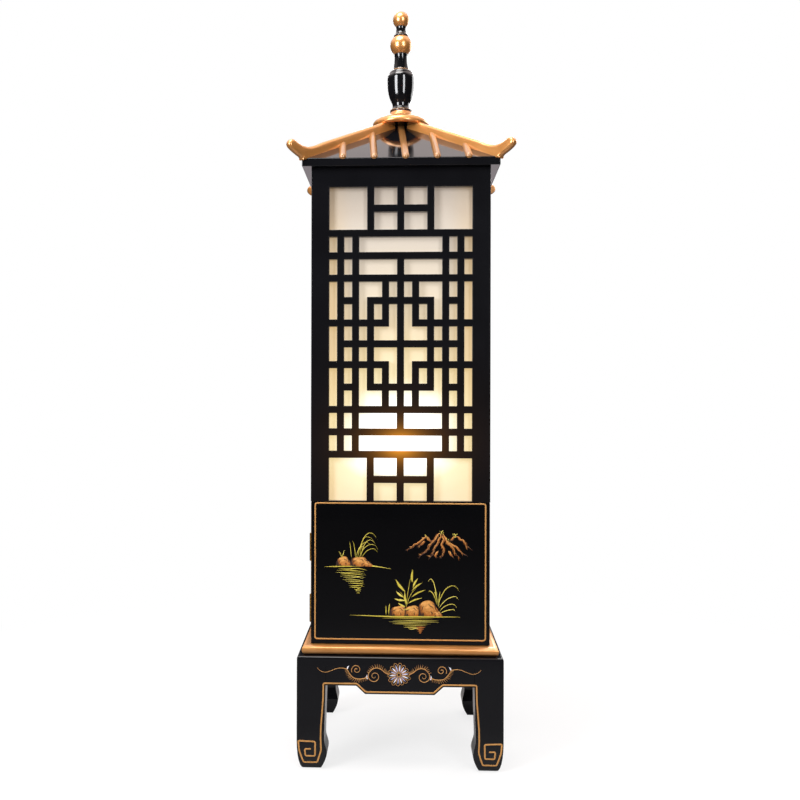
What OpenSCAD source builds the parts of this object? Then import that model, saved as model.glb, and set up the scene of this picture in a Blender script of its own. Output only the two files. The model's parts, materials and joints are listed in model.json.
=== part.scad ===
// Pagoda floor lamp: a lacquered case with fretwork windows on a low square stand,
// a painted door on two butt hinges, a hipped roof with upturned horns and a turned finial.
// Millimetres, +Z up, the front faces -Y, the origin is on the floor under the finial.

/* [Stand] */
// How far the stand reaches out past the base moulding
stand_out = 8.25; // [4:0.25:14]
// Height of the stand with its top board
stand_h = 210; // [190:1:230]
// Thickness of the stand's top board
stand_top_t = 18; // [14:1:24]
// Radius of the top board's upper edge
stand_edge_r = 4; // [2:0.5:6]
// Width of a leg
leg_w = 53.5; // [44:0.5:60]
// Height of the widest place of the hoof above the floor
hoof_h = 30; // [24:1:40]
// Height of the ankle above the hoof
ankle_rise = 28; // [22:1:34]
// How far the hoof stands in from the leg's inner face
hoof_bulge = 2.5; // [2:0.5:8]
// How far the ankle is drawn back from the leg's inner face
ankle_in = 2.5; // [1:0.5:4]
// How far the sole is drawn in at the toe
toe_in = 12; // [8:0.5:16]
// Height at which the toe's curve starts
toe_h = 54; // [44:1:60]
// How far the sole's inner edge lies behind the leg's inner face
sole_in = 9.3; // [6:0.1:12]
// Thickness of an apron
apron_t = 16; // [12:1:20]
// Height of an apron beside the legs
apron_end_h = 35.3; // [30:0.1:44]
// Height of an apron in its middle
apron_mid_h = 50.3; // [46:0.1:60]
// Width of the apron's lower step
apron_step_w = 128; // [110:1:150]
// Width of the slanted part on each side of the step
apron_slant = 16.5; // [10:0.5:24]

/* [Case] */
// Width of the square case
case_w = 335; // [325:1:345]
// Height of the case
case_h = 892; // [860:1:940]
// Thickness of the case's boards
board_t = 13; // [11:0.5:15]
// Width of the square corner posts
post_w = 14; // [11:0.5:16]
// How far the base moulding stands out past the case
moulding_out = 15; // [10:0.5:20]
// Thickness of the base moulding and the floor board
moulding_t = 18; // [14:1:22]
// Width of a moulding strip
strip_w = 30; // [26:1:34]

/* [Fretwork] */
// Width of the board on each side of the window
stile_w = 34; // [28:0.5:38]
// Height of the rail over the window
top_rail_h = 36; // [30:1:44]
// Height of the strip under the front window
sill_h = 2; // [1.5:0.25:3]
// Width of a fretwork bar
fret_bar = 13.5; // [11:0.1:14.5]
// Height of an opening in the top and bottom blocks
block_open = 33.2; // [32:0.1:35]
// Height of an opening in the long and middle rows
row_open = 28.5; // [27:0.1:30]
// Height of the two openings beside the centre bar
mid_open = 25.5; // [24:0.1:28]
// Thickness of the shade sheets
shade_t = 1; // [0.8:0.1:1.5]
// How far a shade sheet laps over the window's edge
shade_lap = 8; // [5:0.5:10]

/* [Door] */
// Gap beside the door, on each side
door_side_gap = 1; // [0.8:0.1:1.4]
// Gap under the door
door_floor_gap = 1; // [0.6:0.1:2]
// Gap over the door
door_top_gap = 0.6; // [0.5:0.1:1]
// Gap between the door's back and the case
door_back_gap = 0.3; // [0.3:0.05:0.5]
// Height of a hinge leaf
hinge_h = 50.8; // [44:0.2:56]
// Width of a hinge leaf from the pin's axis
hinge_leaf_w = 12; // [11:0.25:12.5]
// Thickness of a hinge leaf
hinge_leaf_t = 1.2; // [1:0.1:1.4]
// Outer radius of a hinge knuckle
knuckle_r = 2.6; // [2.4:0.1:2.9]
// Radius of a hinge pin
pin_r = 1.4; // [1.2:0.1:1.5]
// How far the pin's axis stands outside the case
pin_out = 0.5; // [0.3:0.1:0.8]
// How far down the door the upper hinge's middle lies, as a share of the door's height
hinge_upper_share = 0.325; // [0.25:0.005:0.35]
// How far up the door the lower hinge's middle lies, as a share of the door's height
hinge_lower_share = 0.24; // [0.2:0.005:0.3]
// Radius of a hinge screw
screw_r = 1.15; // [1:0.05:1.3]
// Length of a hinge screw
screw_len = 9; // [7:0.5:10]
// Distance between a leaf's two screws
screw_pitch = 30; // [24:1:34]
// Length of the catch
catch_h = 36; // [28:1:44]
// Depth of the catch
catch_d = 16; // [12:1:20]
// Width of the catch
catch_w = 12; // [10:0.5:14]
// Thickness of the catch's steel plate
catch_plate_t = 1; // [0.8:0.1:1.2]

/* [Roof] */
// How far the eaves stand out past the case
eave_out = 16.5; // [12:0.5:22]
// Thickness of the eave board
eave_t = 15; // [13:0.5:19]
// Pitch of the roof
roof_pitch = 31; // [29:0.5:33]
// Thickness of the roof panels
roof_panel_t = 8; // [6:0.5:10]
// Diameter of the vent hole in the eave board
vent_d = 120; // [80:1:140]
// Width of the square apex block
apex_w = 32; // [28:1:36]
// Height of the apex block
apex_h = 56; // [48:1:64]
// Radius of the half-round ribs
rib_r = 6.75; // [6:0.25:7.5]
// Distance between the ribs along the eaves
rib_pitch = 58.5; // [52:0.5:62]
// How far the ribs' feet lie beside the middle
rib_shift = 9; // [0:0.5:12]
// How far the ribs lean over, in degrees
rib_lean = 2.7; // [0:0.1:4]
// How far the centres of the ribs' round ends stand back from the eaves
rib_inset = 4; // [2:0.5:5.5]
// Width of a ridge bar
ridge_w = 14.5; // [12:0.5:17]
// Height of a ridge bar above the ridge line
ridge_h = 16.6; // [14:0.1:18]
// How far a horn's tip reaches past the eaves, measured across the roof
horn_out = 24; // [20:0.5:28]
// Height of a horn's tip above the eave board
horn_h = 30.6; // [26:0.2:36]
// How far a horn's foot hangs over the eave board
horn_drop = 6; // [3:0.5:8]

/* [Finial] */
// Diameter of the finial disc
disc_d = 115; // [100:1:125]
// Height of the finial disc with its raised foot
disc_h = 32; // [28:1:38]
// Height of the urn and its neck
urn_h = 119; // [110:1:130]
// Largest diameter of the urn
urn_d = 55.4; // [50:0.2:60]
// Diameter of the urn's neck under the lower ball
urn_neck_d = 26; // [22:0.5:30]
// Diameter of the lower ball
ball_lower_d = 44.2; // [40:0.2:48]
// Diameter of the top ball
ball_top_d = 33.6; // [30:0.2:36]
// Height of the neck between the balls
neck_h = 20; // [16:1:24]
// Diameter of the neck between the balls
neck_d = 19.8; // [17:0.2:22]
// Radius of the threaded rod
rod_r = 4; // [3:0.5:5]

/* [Lamp] */
// Depth of the cross bar that carries the lamp holder
bar_d = 40; // [36:1:50]
// Thickness of the cross bar
bar_t = 16; // [12:1:20]
// Gap between the side shades' lower edges and the cross bar's upper face
bar_gap = 0.5; // [0.4:0.1:2]
// Width of the bar's cleats
cleat_w = 12; // [9:0.5:13]
// Height of the bar's cleats
cleat_h = 15; // [10:1:20]
// Radius of the threaded tube under the lamp holder
nipple_r = 5; // [4.5:0.25:5.5]
// Height of the lamp holder
holder_h = 66; // [56:1:74]
// Diameter of the bulb's glass
bulb_d = 60; // [55:1:68]
// Height from the foot of the bulb's glass to its widest place
bulb_rise = 46; // [40:1:54]
// Radius of the cord's hole in the grommet
cord_r = 4; // [3.5:0.25:4.5]
// Height of the grommet's axis above the floor board
grommet_rise = 30; // [20:1:60]

/* [Hidden] */
$fn = 64;

// Colours as the lamp shows them
black = [0.03, 0.03, 0.035];
gold = [0.80, 0.52, 0.25];
paper = [0.95, 0.87, 0.72, 0.9];
brass = [0.55, 0.42, 0.20];
steel = [0.62, 0.62, 0.64];

// Small clearances: a glued or threaded seat, a running pin, and a moving gap
seat = 0.05;
run = 0.05;
gap = 0.3;

// Widths, from the case outwards
moulding_w = case_w + 2 * moulding_out;
stand_w = moulding_w + 2 * stand_out;
roof_w = case_w + 2 * eave_out;
window_w = case_w - 2 * stile_w;

// Heights of the stand
leg_top = stand_h - stand_top_t;
leg_in = stand_w / 2 - leg_w;

// Heights of the case
case_z = stand_h + moulding_t;
case_top = case_z + case_h;
inside = case_w / 2 - board_t;
post_in = inside - post_w;
floor_w = moulding_w - 2 * strip_w;

// Fretwork: row heights from the top, and where each row starts below the window's upper edge
half_rows = [block_open, block_open, row_open, row_open, row_open, row_open, mid_open];
rows = concat(half_rows, [for (i = [6 : -1 : 0]) half_rows[i]]);
columns = 10;
col_open = (window_w - (columns - 1) * fret_bar) / columns;
function row_start(i) = i == 0 ? 0 : row_start(i - 1) + rows[i - 1] + fret_bar;
window_h = row_start(13) + rows[13];
window_top = case_top - top_rail_h;
window_z = window_top - window_h;
lattice_z = window_z - sill_h;

// Openings of one quarter of the window: first and last column, first and last row
quarter = [[0, 2, 0, 1], [3, 4, 0, 0], [3, 4, 1, 1],
    [0, 0, 2, 2], [1, 1, 2, 2], [2, 7, 2, 2],
    [0, 0, 3, 3], [1, 1, 3, 3], [2, 4, 3, 3],
    [0, 0, 4, 5], [1, 1, 4, 4], [2, 3, 4, 4], [2, 2, 4, 5], [4, 4, 4, 4],
    [1, 1, 5, 5], [3, 3, 5, 5], [4, 4, 5, 6],
    [0, 0, 6, 7], [1, 1, 6, 6], [2, 2, 6, 6], [3, 4, 6, 6]];

// Door and hinges
door_z = case_z + door_floor_gap;
door_top = lattice_z - door_top_gap;
door_w = case_w - 2 * door_side_gap;
door_t = board_t - door_back_gap;
pin_x = -case_w / 2 - pin_out;
pin_y = -inside - door_back_gap / 2;
door_h = door_top - door_z;
hinge_upper_z = door_top - hinge_upper_share * door_h;
hinge_lower_z = door_z + hinge_lower_share * door_h;
knuckles = 5;
knuckle_gap = 0.2;
screw_x = pin_x + (hinge_leaf_w + knuckle_r) / 2 + 0.6;
screw_head_r = 2 * screw_r;
rail_h = 24;
rail_d = 20;
catch_z = door_z + door_h / 2;

// Roof
eave_z = case_top;
roof_z = eave_z + eave_t;
slope = tan(roof_pitch);
roof_half = roof_w / 2;
horn_reach = roof_half + horn_out + ridge_w;
apex_top = roof_z + slope * (roof_half - apex_w / 2) + 2;

// Finial heights, from the apex block upwards
disc_z = apex_top;
urn_z = disc_z + disc_h;
ball_lower_z = urn_z + urn_h;
neck_z = ball_lower_z + sqrt(pow(ball_lower_d, 2) - pow(urn_neck_d, 2));
ball_top_z = neck_z + neck_h;
rod_z = apex_top - apex_h - 12;

// Lamp holder, with heights above the cross bar
bar_top = window_z - shade_lap - bar_gap;
key_z = 12;
socket_floor = 30;
socket_r = 13.4;
contact_h = 4;
bulb_z = bar_top + socket_floor + contact_h;

// A flat board cut from a drawing in x and z, its back at y = 0 and its front at y = -t
module upright(t) {
    rotate([90, 0, 0]) linear_extrude(t) children();
}

// The same drawing set across the part, seen along x
module crosswise(t) {
    rotate([90, 0, 90]) linear_extrude(t) children();
}

// One quarter of the plan, opening towards +x, between the two diagonals
module quarter_wedge(size, z, h, inset = 0) {
    translate([0, 0, z])
        linear_extrude(h)
            polygon([[inset, 0], [size + inset, -size], [size + inset, size]]);
}

// Side view of a leg with its hoof foot
module leg_profile() {
    ankle_x = leg_in + ankle_in;
    ankle_z = hoof_h + ankle_rise;
    bulge_x = leg_in - hoof_bulge;
    sole_x = leg_in + sole_in;
    toe = [for (a = [-90 : 15 : 0]) [stand_w / 2 - toe_in + toe_in * cos(a), toe_h + toe_h * sin(a)]];
    ankle = [for (t = [0 : 0.125 : 1])
        [ankle_x + (bulge_x - ankle_x) * (1 - cos(180 * t)) / 2, ankle_z + (hoof_h - ankle_z) * t]];
    sole = [for (t = [0.125 : 0.125 : 1]) [bulge_x + (sole_x - bulge_x) * pow(t, 1.5), hoof_h * (1 - t)]];
    polygon(concat(toe,
        [[stand_w / 2, leg_top], [leg_in, leg_top], [leg_in, leg_top - apron_end_h]], ankle, sole));
}

module leg(quadrant) {
    span = leg_w + hoof_bulge + 1;
    color(black) rotate([0, 0, 90 * quadrant]) intersection() {
        translate([0, stand_w / 2, 0]) upright(span) leg_profile();
        translate([stand_w / 2 - span, 0, 0]) crosswise(span) leg_profile();
    }
}

module apron(side) {
    step = apron_step_w / 2;
    low = leg_top - apron_mid_h;
    end = leg_top - apron_end_h;
    color(black) rotate([0, 0, 90 * side]) translate([0, -stand_w / 2 + apron_t, 0])
        upright(apron_t) polygon([[-leg_in, leg_top], [-leg_in, end], [-step - apron_slant, end], [-step, low],
            [step, low], [step + apron_slant, end], [leg_in, end], [leg_in, leg_top]]);
}

// Section of a board whose upper edges are rounded
module soft_edge(w, t, r) {
    translate([-w / 2, 0]) square([w, t - r]);
    translate([-w / 2 + r, 0]) square([w - 2 * r, t]);
    for (s = [-1, 1]) translate([s * (w / 2 - r), t - r]) circle(r);
}

module stand_top() {
    color(black) translate([0, 0, leg_top]) intersection() {
        translate([0, stand_w / 2, 0]) upright(stand_w) soft_edge(stand_w, stand_top_t, stand_edge_r);
        translate([-stand_w / 2, 0, 0]) crosswise(stand_w) soft_edge(stand_w, stand_top_t, stand_edge_r);
    }
}

// Section of the gold moulding: a strip with a half-round outer edge
module bullnose() {
    r = moulding_t / 2;
    translate([floor_w / 2, 0]) square([strip_w - r, moulding_t]);
    translate([moulding_w / 2 - r, r]) circle(r);
}

module base_moulding() {
    color(gold) for (i = [0 : 3]) rotate([0, 0, 90 * i]) intersection() {
        translate([0, moulding_w / 2, stand_h]) upright(moulding_w) bullnose();
        quarter_wedge(moulding_w, stand_h - 1, moulding_t + 2);
    }
}

module case_floor() {
    color(black) translate([-floor_w / 2, -floor_w / 2, stand_h]) cube([floor_w, floor_w, moulding_t]);
}

module corner_posts() {
    color(black) for (i = [0 : 3]) rotate([0, 0, 90 * i])
        translate([post_in, post_in, case_z]) cube([post_w, post_w, case_h]);
}

// One opening of the fretwork, or several joined, as a rectangle in the window
module fret_opening(c0, c1, r0, r1) {
    x = -window_w / 2 + c0 * (col_open + fret_bar);
    w = (c1 - c0) * (col_open + fret_bar) + col_open;
    top = window_top - row_start(r0);
    low = window_top - row_start(r1) - rows[r1];
    translate([x, low]) square([w, top - low]);
}

// The whole fretwork: the quarter mirrored to the right and downwards
module fret_openings() {
    last = len(rows) - 1;
    for (q = quarter, flip = [0, 1], turn = [0, 1])
        fret_opening(flip == 0 ? q[0] : columns - 1 - q[1], flip == 0 ? q[1] : columns - 1 - q[0],
            turn == 0 ? q[2] : last - q[3], turn == 0 ? q[3] : last - q[2]);
}

// Drawing of a board of the case, from z0 to the case's top, with its window
module window_board(w, z0) {
    difference() {
        translate([-w / 2, z0]) square([w, case_top - z0]);
        fret_openings();
    }
}

module front_lattice() {
    color(black) translate([0, -inside, 0]) upright(board_t) window_board(case_w, lattice_z);
}

// Round seat of the knuckles and flat seats of both leaves, cut into the wood
module hinge_cuts(z) {
    translate([pin_x, pin_y, z - hinge_h / 2 - 1.5]) cylinder(h = hinge_h + 3, r = knuckle_r + gap);
    translate([pin_x, pin_y - door_back_gap / 2 - hinge_leaf_t, z - hinge_h / 2])
        cube([hinge_leaf_w + seat, 2 * hinge_leaf_t + door_back_gap, hinge_h]);
}

// Pilot holes of a leaf's screws, from the leaf into the wood
module screw_holes(z, side) {
    for (s = [-1, 1])
        translate([screw_x, pin_y, z + s * screw_pitch / 2])
            rotate([-90 * side, 0, 0]) cylinder(h = screw_len + 1, r = screw_r + seat);
}

module left_panel() {
    color(black) difference() {
        translate([-case_w / 2, 0, 0]) crosswise(board_t) window_board(2 * inside, case_z);
        for (z = [hinge_upper_z, hinge_lower_z]) {
            hinge_cuts(z);
            screw_holes(z, 1);
        }
    }
}

module right_panel() {
    color(black) translate([inside, 0, 0]) crosswise(board_t) window_board(2 * inside, case_z);
}

grommet_z = case_z + grommet_rise;
grommet_hole_r = cord_r + 4;

module rear_panel() {
    color(black) translate([0, inside + board_t, 0]) upright(board_t) difference() {
        window_board(case_w, case_z);
        translate([0, grommet_z]) circle(grommet_hole_r);
    }
}

// A shade sheet behind a window: side 0 is the front, then anticlockwise seen from above
module shade(side, z0) {
    w = 2 * post_in - 1;
    color(paper) rotate([0, 0, 90 * side])
        translate([-w / 2, -inside, z0]) cube([w, shade_t, window_top + shade_lap - z0]);
}

rail_top = window_z - 0.5;

module mid_rail() {
    color(black) translate([-post_in, -inside, rail_top - rail_h]) cube([2 * post_in, rail_d, rail_h]);
}

module lamp_bar() {
    color([0.55, 0.42, 0.28]) difference() {
        translate([-inside, -bar_d / 2, bar_top - bar_t]) cube([2 * inside, bar_d, bar_t]);
        translate([0, 0, bar_top - bar_t - 1]) cylinder(h = bar_t + 2, r = nipple_r + seat);
    }
}

module bar_cleats() {
    d = bar_d + 20;
    color([0.55, 0.42, 0.28]) for (s = [0, 1]) mirror([s, 0, 0])
        translate([inside - cleat_w, -d / 2, bar_top - bar_t - cleat_h]) cube([cleat_w, d, cleat_h]);
}

module door() {
    color(black) difference() {
        translate([-door_w / 2, -case_w / 2, door_z]) cube([door_w, door_t, door_top - door_z]);
        for (z = [hinge_upper_z, hinge_lower_z]) {
            hinge_cuts(z);
            screw_holes(z, -1);
        }
    }
}

// One leaf with its knuckles: side 1 lies on the case, side -1 on the door
module hinge_leaf(z, side) {
    knuckle_h = hinge_h / knuckles;
    face = side * door_back_gap / 2;
    plate_x = knuckle_r + gap;
    first = side == 1 ? 0 : 1;
    color(brass) translate([pin_x, pin_y, z - hinge_h / 2]) difference() {
        union() {
            translate([plate_x, side == 1 ? face : face - hinge_leaf_t, 0])
                cube([hinge_leaf_w - plate_x, hinge_leaf_t, hinge_h]);
            for (k = [first : 2 : knuckles - 1]) translate([0, 0, k * knuckle_h + knuckle_gap / 2]) {
                cylinder(h = knuckle_h - knuckle_gap, r = knuckle_r);
                translate([0, side == 1 ? face : face - hinge_leaf_t, 0])
                    cube([plate_x + 1, hinge_leaf_t, knuckle_h - knuckle_gap]);
            }
        }
        translate([0, 0, -1]) cylinder(h = hinge_h + 2, r = pin_r + run);
        for (s = [-1, 1]) translate([screw_x - pin_x, face, hinge_h / 2 + s * screw_pitch / 2])
            rotate([-90 * side, 0, 0])
                cylinder(h = hinge_leaf_t, r1 = screw_head_r + seat, r2 = screw_r + seat);
    }
}

module hinge_pins() {
    head_h = 1;
    color(brass) for (z = [hinge_upper_z, hinge_lower_z]) translate([pin_x, pin_y, z - hinge_h / 2]) {
        cylinder(h = hinge_h, r = pin_r);
        for (end = [-head_h, hinge_h]) translate([0, 0, end]) cylinder(h = head_h, r = knuckle_r - 0.4);
    }
}

// The four screws on one side of the hinges: 1 goes into the case, -1 into the door
module hinge_screws(side) {
    color(brass) for (z = [hinge_upper_z, hinge_lower_z], s = [-1, 1])
        translate([screw_x, pin_y + side * door_back_gap / 2, z + s * screw_pitch / 2])
            rotate([-90 * side, 0, 0]) {
                cylinder(h = hinge_leaf_t, r1 = screw_head_r, r2 = screw_r);
                cylinder(h = screw_len, r = screw_r);
            }
}

module catch_magnet() {
    color(black) translate([post_in - catch_w, -inside - door_back_gap + catch_plate_t + gap, catch_z - catch_h / 2])
        cube([catch_w, catch_d, catch_h]);
}

module catch_plate() {
    margin = 1.5;
    color(steel) translate([post_in - catch_w + margin, -inside - door_back_gap, catch_z - catch_h / 2 + margin])
        cube([catch_w - 2 * margin, catch_plate_t, catch_h - 2 * margin]);
}

module roof_base() {
    color(black) difference() {
        translate([-roof_half, -roof_half, eave_z]) cube([roof_w, roof_w, eave_t]);
        translate([0, 0, eave_z - 1]) cylinder(h = eave_t + 2, d = vent_d);
    }
}

// Everything under the roof's upper faces, seen from one side as a prism along the eaves
module roof_prism(low) {
    translate([0, horn_reach, 0]) upright(2 * horn_reach)
        polygon([[-roof_half, low], [-roof_half, roof_z], [0, roof_z + slope * roof_half],
            [roof_half, roof_z], [roof_half, low]]);
}

// A mitred roof panel, standing towards +x before it is turned to its side
module roof_panel(side) {
    rise = roof_panel_t / cos(roof_pitch);
    top = roof_z + slope * (roof_half - apex_w / 2);
    color(black) rotate([0, 0, 90 * side]) intersection() {
        translate([0, roof_half, 0]) upright(roof_w) polygon([[apex_w / 2, top], [roof_half, roof_z],
            [roof_half - rise / slope, roof_z], [apex_w / 2, top - rise]]);
        quarter_wedge(roof_w, roof_z - 1, top - roof_z + 2);
    }
}

// Five round bars on one roof side, cut flat by the roof, each with a rounded foot over the eave
module ribs(side) {
    side_gap = (ridge_w / 2 + 0.1) * sqrt(2);
    color(gold) rotate([0, 0, 90 * side]) difference() {
        intersection() {
            union() for (k = [-2 : 2])
                translate([roof_half - rib_inset, rib_shift + k * rib_pitch, roof_z + slope * rib_inset])
                rotate([0, roof_pitch, 0]) rotate([0, 0, rib_lean]) {
                    rotate([0, -90, 0]) cylinder(h = roof_half * 1.3, r = rib_r);
                    sphere(r = rib_r);
                }
            quarter_wedge(roof_w, eave_z, disc_z - eave_z, side_gap);
            translate([apex_w / 2 + 0.5, -roof_half, eave_z]) cube([roof_w, roof_w, disc_z - seat - eave_z]);
        }
        roof_prism(eave_z - 1);
    }
}

// Side view of a ridge bar and its horn along the diagonal: u is the distance across the roof
module ridge_profile() {
    start = apex_w / 2 + 0.5;
    foot = roof_half + 1;
    bend = roof_half - 1.5 * horn_out;
    function top_line(u) = roof_z + slope * (roof_half - u) + ridge_h;
    // the horn from its foot round the tip, in shares of horn_out past the eaves and of horn_h above the board
    horn = [[0.12, 0.016], [0.33, 0.13], [0.58, 0.245], [0.79, 0.376], [0.95, 0.51], [1, 0.65], [0.98, 0.78],
        [0.89, 0.915], [0.75, 1], [0.58, 0.975], [0.375, 0.87], [0.145, 0.785], [-0.085, 0.745],
        [-0.29, 0.742], [-0.54, 0.79], [-0.96, 0.96]];
    outline = concat([[start, eave_z], [foot, eave_z], [foot, roof_z - horn_drop]],
        [for (p = horn) [roof_half + p[0] * horn_out, roof_z + p[1] * horn_h]],
        [[bend, top_line(bend)], [start, top_line(start)]]);
    polygon([for (p = outline) [p[0] * sqrt(2), p[1]]]);
}

module ridge(quadrant) {
    low = roof_z - horn_drop;
    color(gold) rotate([0, 0, 45 + 90 * quadrant]) difference() {
        intersection() {
            translate([0, ridge_w / 2, 0]) upright(ridge_w) ridge_profile();
            translate([0, -ridge_w, low]) cube([roof_w, 2 * ridge_w, disc_z - seat - low]);
        }
        rotate([0, 0, -45]) intersection() {
            roof_prism(eave_z - 1);
            rotate([0, 0, 90]) roof_prism(eave_z - 1);
        }
    }
}

module apex_block() {
    color(black) difference() {
        translate([-apex_w / 2, -apex_w / 2, apex_top - apex_h]) cube([apex_w, apex_w, apex_h]);
        translate([0, 0, apex_top - apex_h - 1]) cylinder(h = apex_h + 2, r = rod_r + seat);
    }
}

// A turned piece: its outline as [radius, height] points from the foot up, bored for the rod
module turned(outline, top) {
    bore = rod_r + seat;
    rotate_extrude() polygon(concat([[bore, outline[0][1]]], outline, [[bore, top]]));
}

module finial_disc() {
    r = disc_d / 2;
    foot = urn_d / 2;
    rim = 11;
    dome = [for (t = [0 : 0.1 : 1])
        [foot + 1 + (r - 3 - foot) * cos(90 * t), rim + (disc_h - 2 * rim) * sin(90 * t)]];
    color(gold) translate([0, 0, disc_z]) turned(concat([[r - 5, 0], [r - 1.6, 2], [r, 5], [r - 0.3, 8]], dome,
        [[foot - 1, disc_h - 9], [foot - 1, disc_h - 7], [foot - 2, disc_h - 5], [foot - 4, disc_h - 2.5],
        [foot - 6, disc_h]]), disc_h);
}

module finial_urn() {
    r = urn_d / 2;
    h = urn_h;
    neck_r = urn_neck_d / 2;
    body = [for (t = [0 : 0.1 : 1]) [r * (0.62 + 0.38 * pow(sin(90 * t), 0.7)), h * (0.14 + 0.41 * t)]];
    color(black) translate([0, 0, urn_z]) turned(concat([[r * 0.74, 0], [r * 0.79, h * 0.014],
        [r * 0.78, h * 0.038], [r * 0.69, h * 0.06], [r * 0.63, h * 0.085], [r * 0.61, h * 0.115]], body,
        [[r * 0.985, h * 0.61], [r * 0.93, h * 0.64], [r * 0.86, h * 0.66], [r * 0.83, h * 0.68],
        [r * 0.7, h * 0.71], [r * 0.58, h * 0.735], [r * 0.54, h * 0.77], [neck_r * 1.06, h * 0.84],
        [neck_r, h * 0.92], [neck_r, h]]), h);
}

// A ball cut flat at its foot, radius seat_r there, and flat again at the height top
module ball(d, seat_r, top) {
    r = d / 2;
    a0 = -acos(seat_r / r);
    a1 = top >= 2 * r ? 90 : asin((top - r * sin(-a0)) / r);
    centre = -r * sin(a0);
    rotate_extrude() difference() {
        intersection() {
            translate([0, centre]) circle(r);
            square([r, top]);
        }
        square([rod_r + seat, top >= 2 * r - 1 ? r : top + 1]);
    }
}

module finial_ball_lower() {
    color(gold) translate([0, 0, ball_lower_z]) ball(ball_lower_d, urn_neck_d / 2, neck_z - ball_lower_z);
}

module finial_neck() {
    r = neck_d / 2;
    color(black) translate([0, 0, neck_z]) turned([[r + 3.5, 0], [r + 5, 0.6], [r + 4.6, 2.2], [r + 1.5, 4.5],
        [r + 0.6, 7], [r, 12], [r, neck_h]], neck_h);
}

module finial_ball_top() {
    color(gold) translate([0, 0, ball_top_z]) ball(ball_top_d, neck_d / 2 - 0.4, 2 * ball_top_d);
}

module finial_rod() {
    color(steel) translate([0, 0, rod_z]) cylinder(h = ball_top_z + ball_top_d / 2 - 2 - rod_z, r = rod_r);
}

module finial_nut() {
    nut_h = 6;
    color(steel) translate([0, 0, apex_top - apex_h - nut_h]) difference() {
        cylinder(h = nut_h, r = 1.9 * rod_r, $fn = 6);
        translate([0, 0, -1]) cylinder(h = nut_h + 2, r = rod_r + seat);
    }
}

module lamp_holder() {
    cap_r = socket_r + 3.6;
    cap_h = key_z + 10;
    shell_r = socket_r + 2.8;
    cap_floor = socket_floor - 12;
    color(brass) translate([0, 0, bar_top]) difference() {
        rotate_extrude() polygon([[nipple_r + seat, 0], [cap_r - 4, 0], [cap_r, 4], [cap_r, cap_h],
            [shell_r, cap_h + 2], [shell_r, holder_h], [socket_r, holder_h], [socket_r, socket_floor],
            [0, socket_floor], [0, cap_floor], [nipple_r + seat, cap_floor]]);
        translate([0, 0, key_z]) rotate([90, 0, 0]) cylinder(h = 2 * cap_r, r = 2 + run);
    }
}

module holder_nipple() {
    color(steel) translate([0, 0, bar_top - bar_t - 8]) difference() {
        cylinder(h = bar_t + 8 + 6, r = nipple_r);
        translate([0, 0, -1]) cylinder(h = bar_t + 20, r = nipple_r - 1.2);
    }
}

module holder_nut() {
    nut_h = 5;
    color(steel) translate([0, 0, bar_top - bar_t - nut_h]) difference() {
        cylinder(h = nut_h, r = 1.8 * nipple_r, $fn = 6);
        translate([0, 0, -1]) cylinder(h = nut_h + 2, r = nipple_r + seat);
    }
}

module switch_key() {
    paddle = [14, 3, 9];
    color(brass) translate([0, 0, bar_top + key_z]) {
        rotate([90, 0, 0]) translate([0, 0, nipple_r + 3]) cylinder(h = 18, r = 2);
        translate([-paddle[0] / 2, -nipple_r - 24, -1.5]) cube([paddle[0], paddle[2], paddle[1]]);
    }
}

module bulb() {
    r = bulb_d / 2;
    base_r = socket_r - gap;
    foot_r = base_r + 0.5;
    foot_z = bar_top + holder_h + gap + 1 - bulb_z;
    wide_z = foot_z + bulb_rise;
    neck = [for (t = [0 : 0.1 : 1]) [foot_r + (r - foot_r) * (1 - cos(180 * t)) / 2, foot_z + bulb_rise * t]];
    dome = [for (a = [10 : 10 : 80]) [r * cos(a), wide_z + r * sin(a)]];
    color([1, 0.95, 0.82, 0.8]) translate([0, 0, bulb_z]) rotate_extrude()
        polygon(concat([[0, 0.5 - contact_h], [4, 0.5 - contact_h], [6, 0], [base_r, 1.5], [base_r, foot_z - 1]],
            neck, dome, [[0, wide_z + r]]));
}

module cable_grommet() {
    lip = 2;
    color(black) translate([0, inside - lip, grommet_z]) rotate([-90, 0, 0]) rotate_extrude()
        polygon([[cord_r, 0], [grommet_hole_r + 2, 0], [grommet_hole_r + 2, lip], [grommet_hole_r - seat, lip],
            [grommet_hole_r - seat, lip + board_t], [grommet_hole_r + 2, lip + board_t],
            [grommet_hole_r + 1.2, 2 * lip + board_t], [cord_r, 2 * lip + board_t]]);
}

side_shade_z = window_z - shade_lap;

leg(2);  // leg_front_left
leg(3);  // leg_front_right
leg(1);  // leg_rear_left
leg(0);  // leg_rear_right
apron(0);  // apron_front
apron(2);  // apron_rear
apron(3);  // apron_left
apron(1);  // apron_right
stand_top();
base_moulding();
case_floor();
corner_posts();
front_lattice();
left_panel();
right_panel();
rear_panel();
shade(0, rail_top);  // shade_front
shade(3, side_shade_z);  // shade_left
shade(1, side_shade_z);  // shade_right
shade(2, side_shade_z);  // shade_rear
mid_rail();
lamp_bar();
bar_cleats();
door();
hinge_leaf(hinge_upper_z, 1);  // hinge_upper_case_leaf
hinge_leaf(hinge_upper_z, -1);  // hinge_upper_door_leaf
hinge_leaf(hinge_lower_z, 1);  // hinge_lower_case_leaf
hinge_leaf(hinge_lower_z, -1);  // hinge_lower_door_leaf
hinge_pins();
hinge_screws(1);  // hinge_screws_case
hinge_screws(-1);  // hinge_screws_door
catch_magnet();
catch_plate();
roof_base();
roof_panel(3);  // roof_panel_front
roof_panel(2);  // roof_panel_left
roof_panel(0);  // roof_panel_right
roof_panel(1);  // roof_panel_rear
ribs(3);  // ribs_front
ribs(2);  // ribs_left
ribs(0);  // ribs_right
ribs(1);  // ribs_rear
ridge(2);  // ridge_front_left
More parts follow.
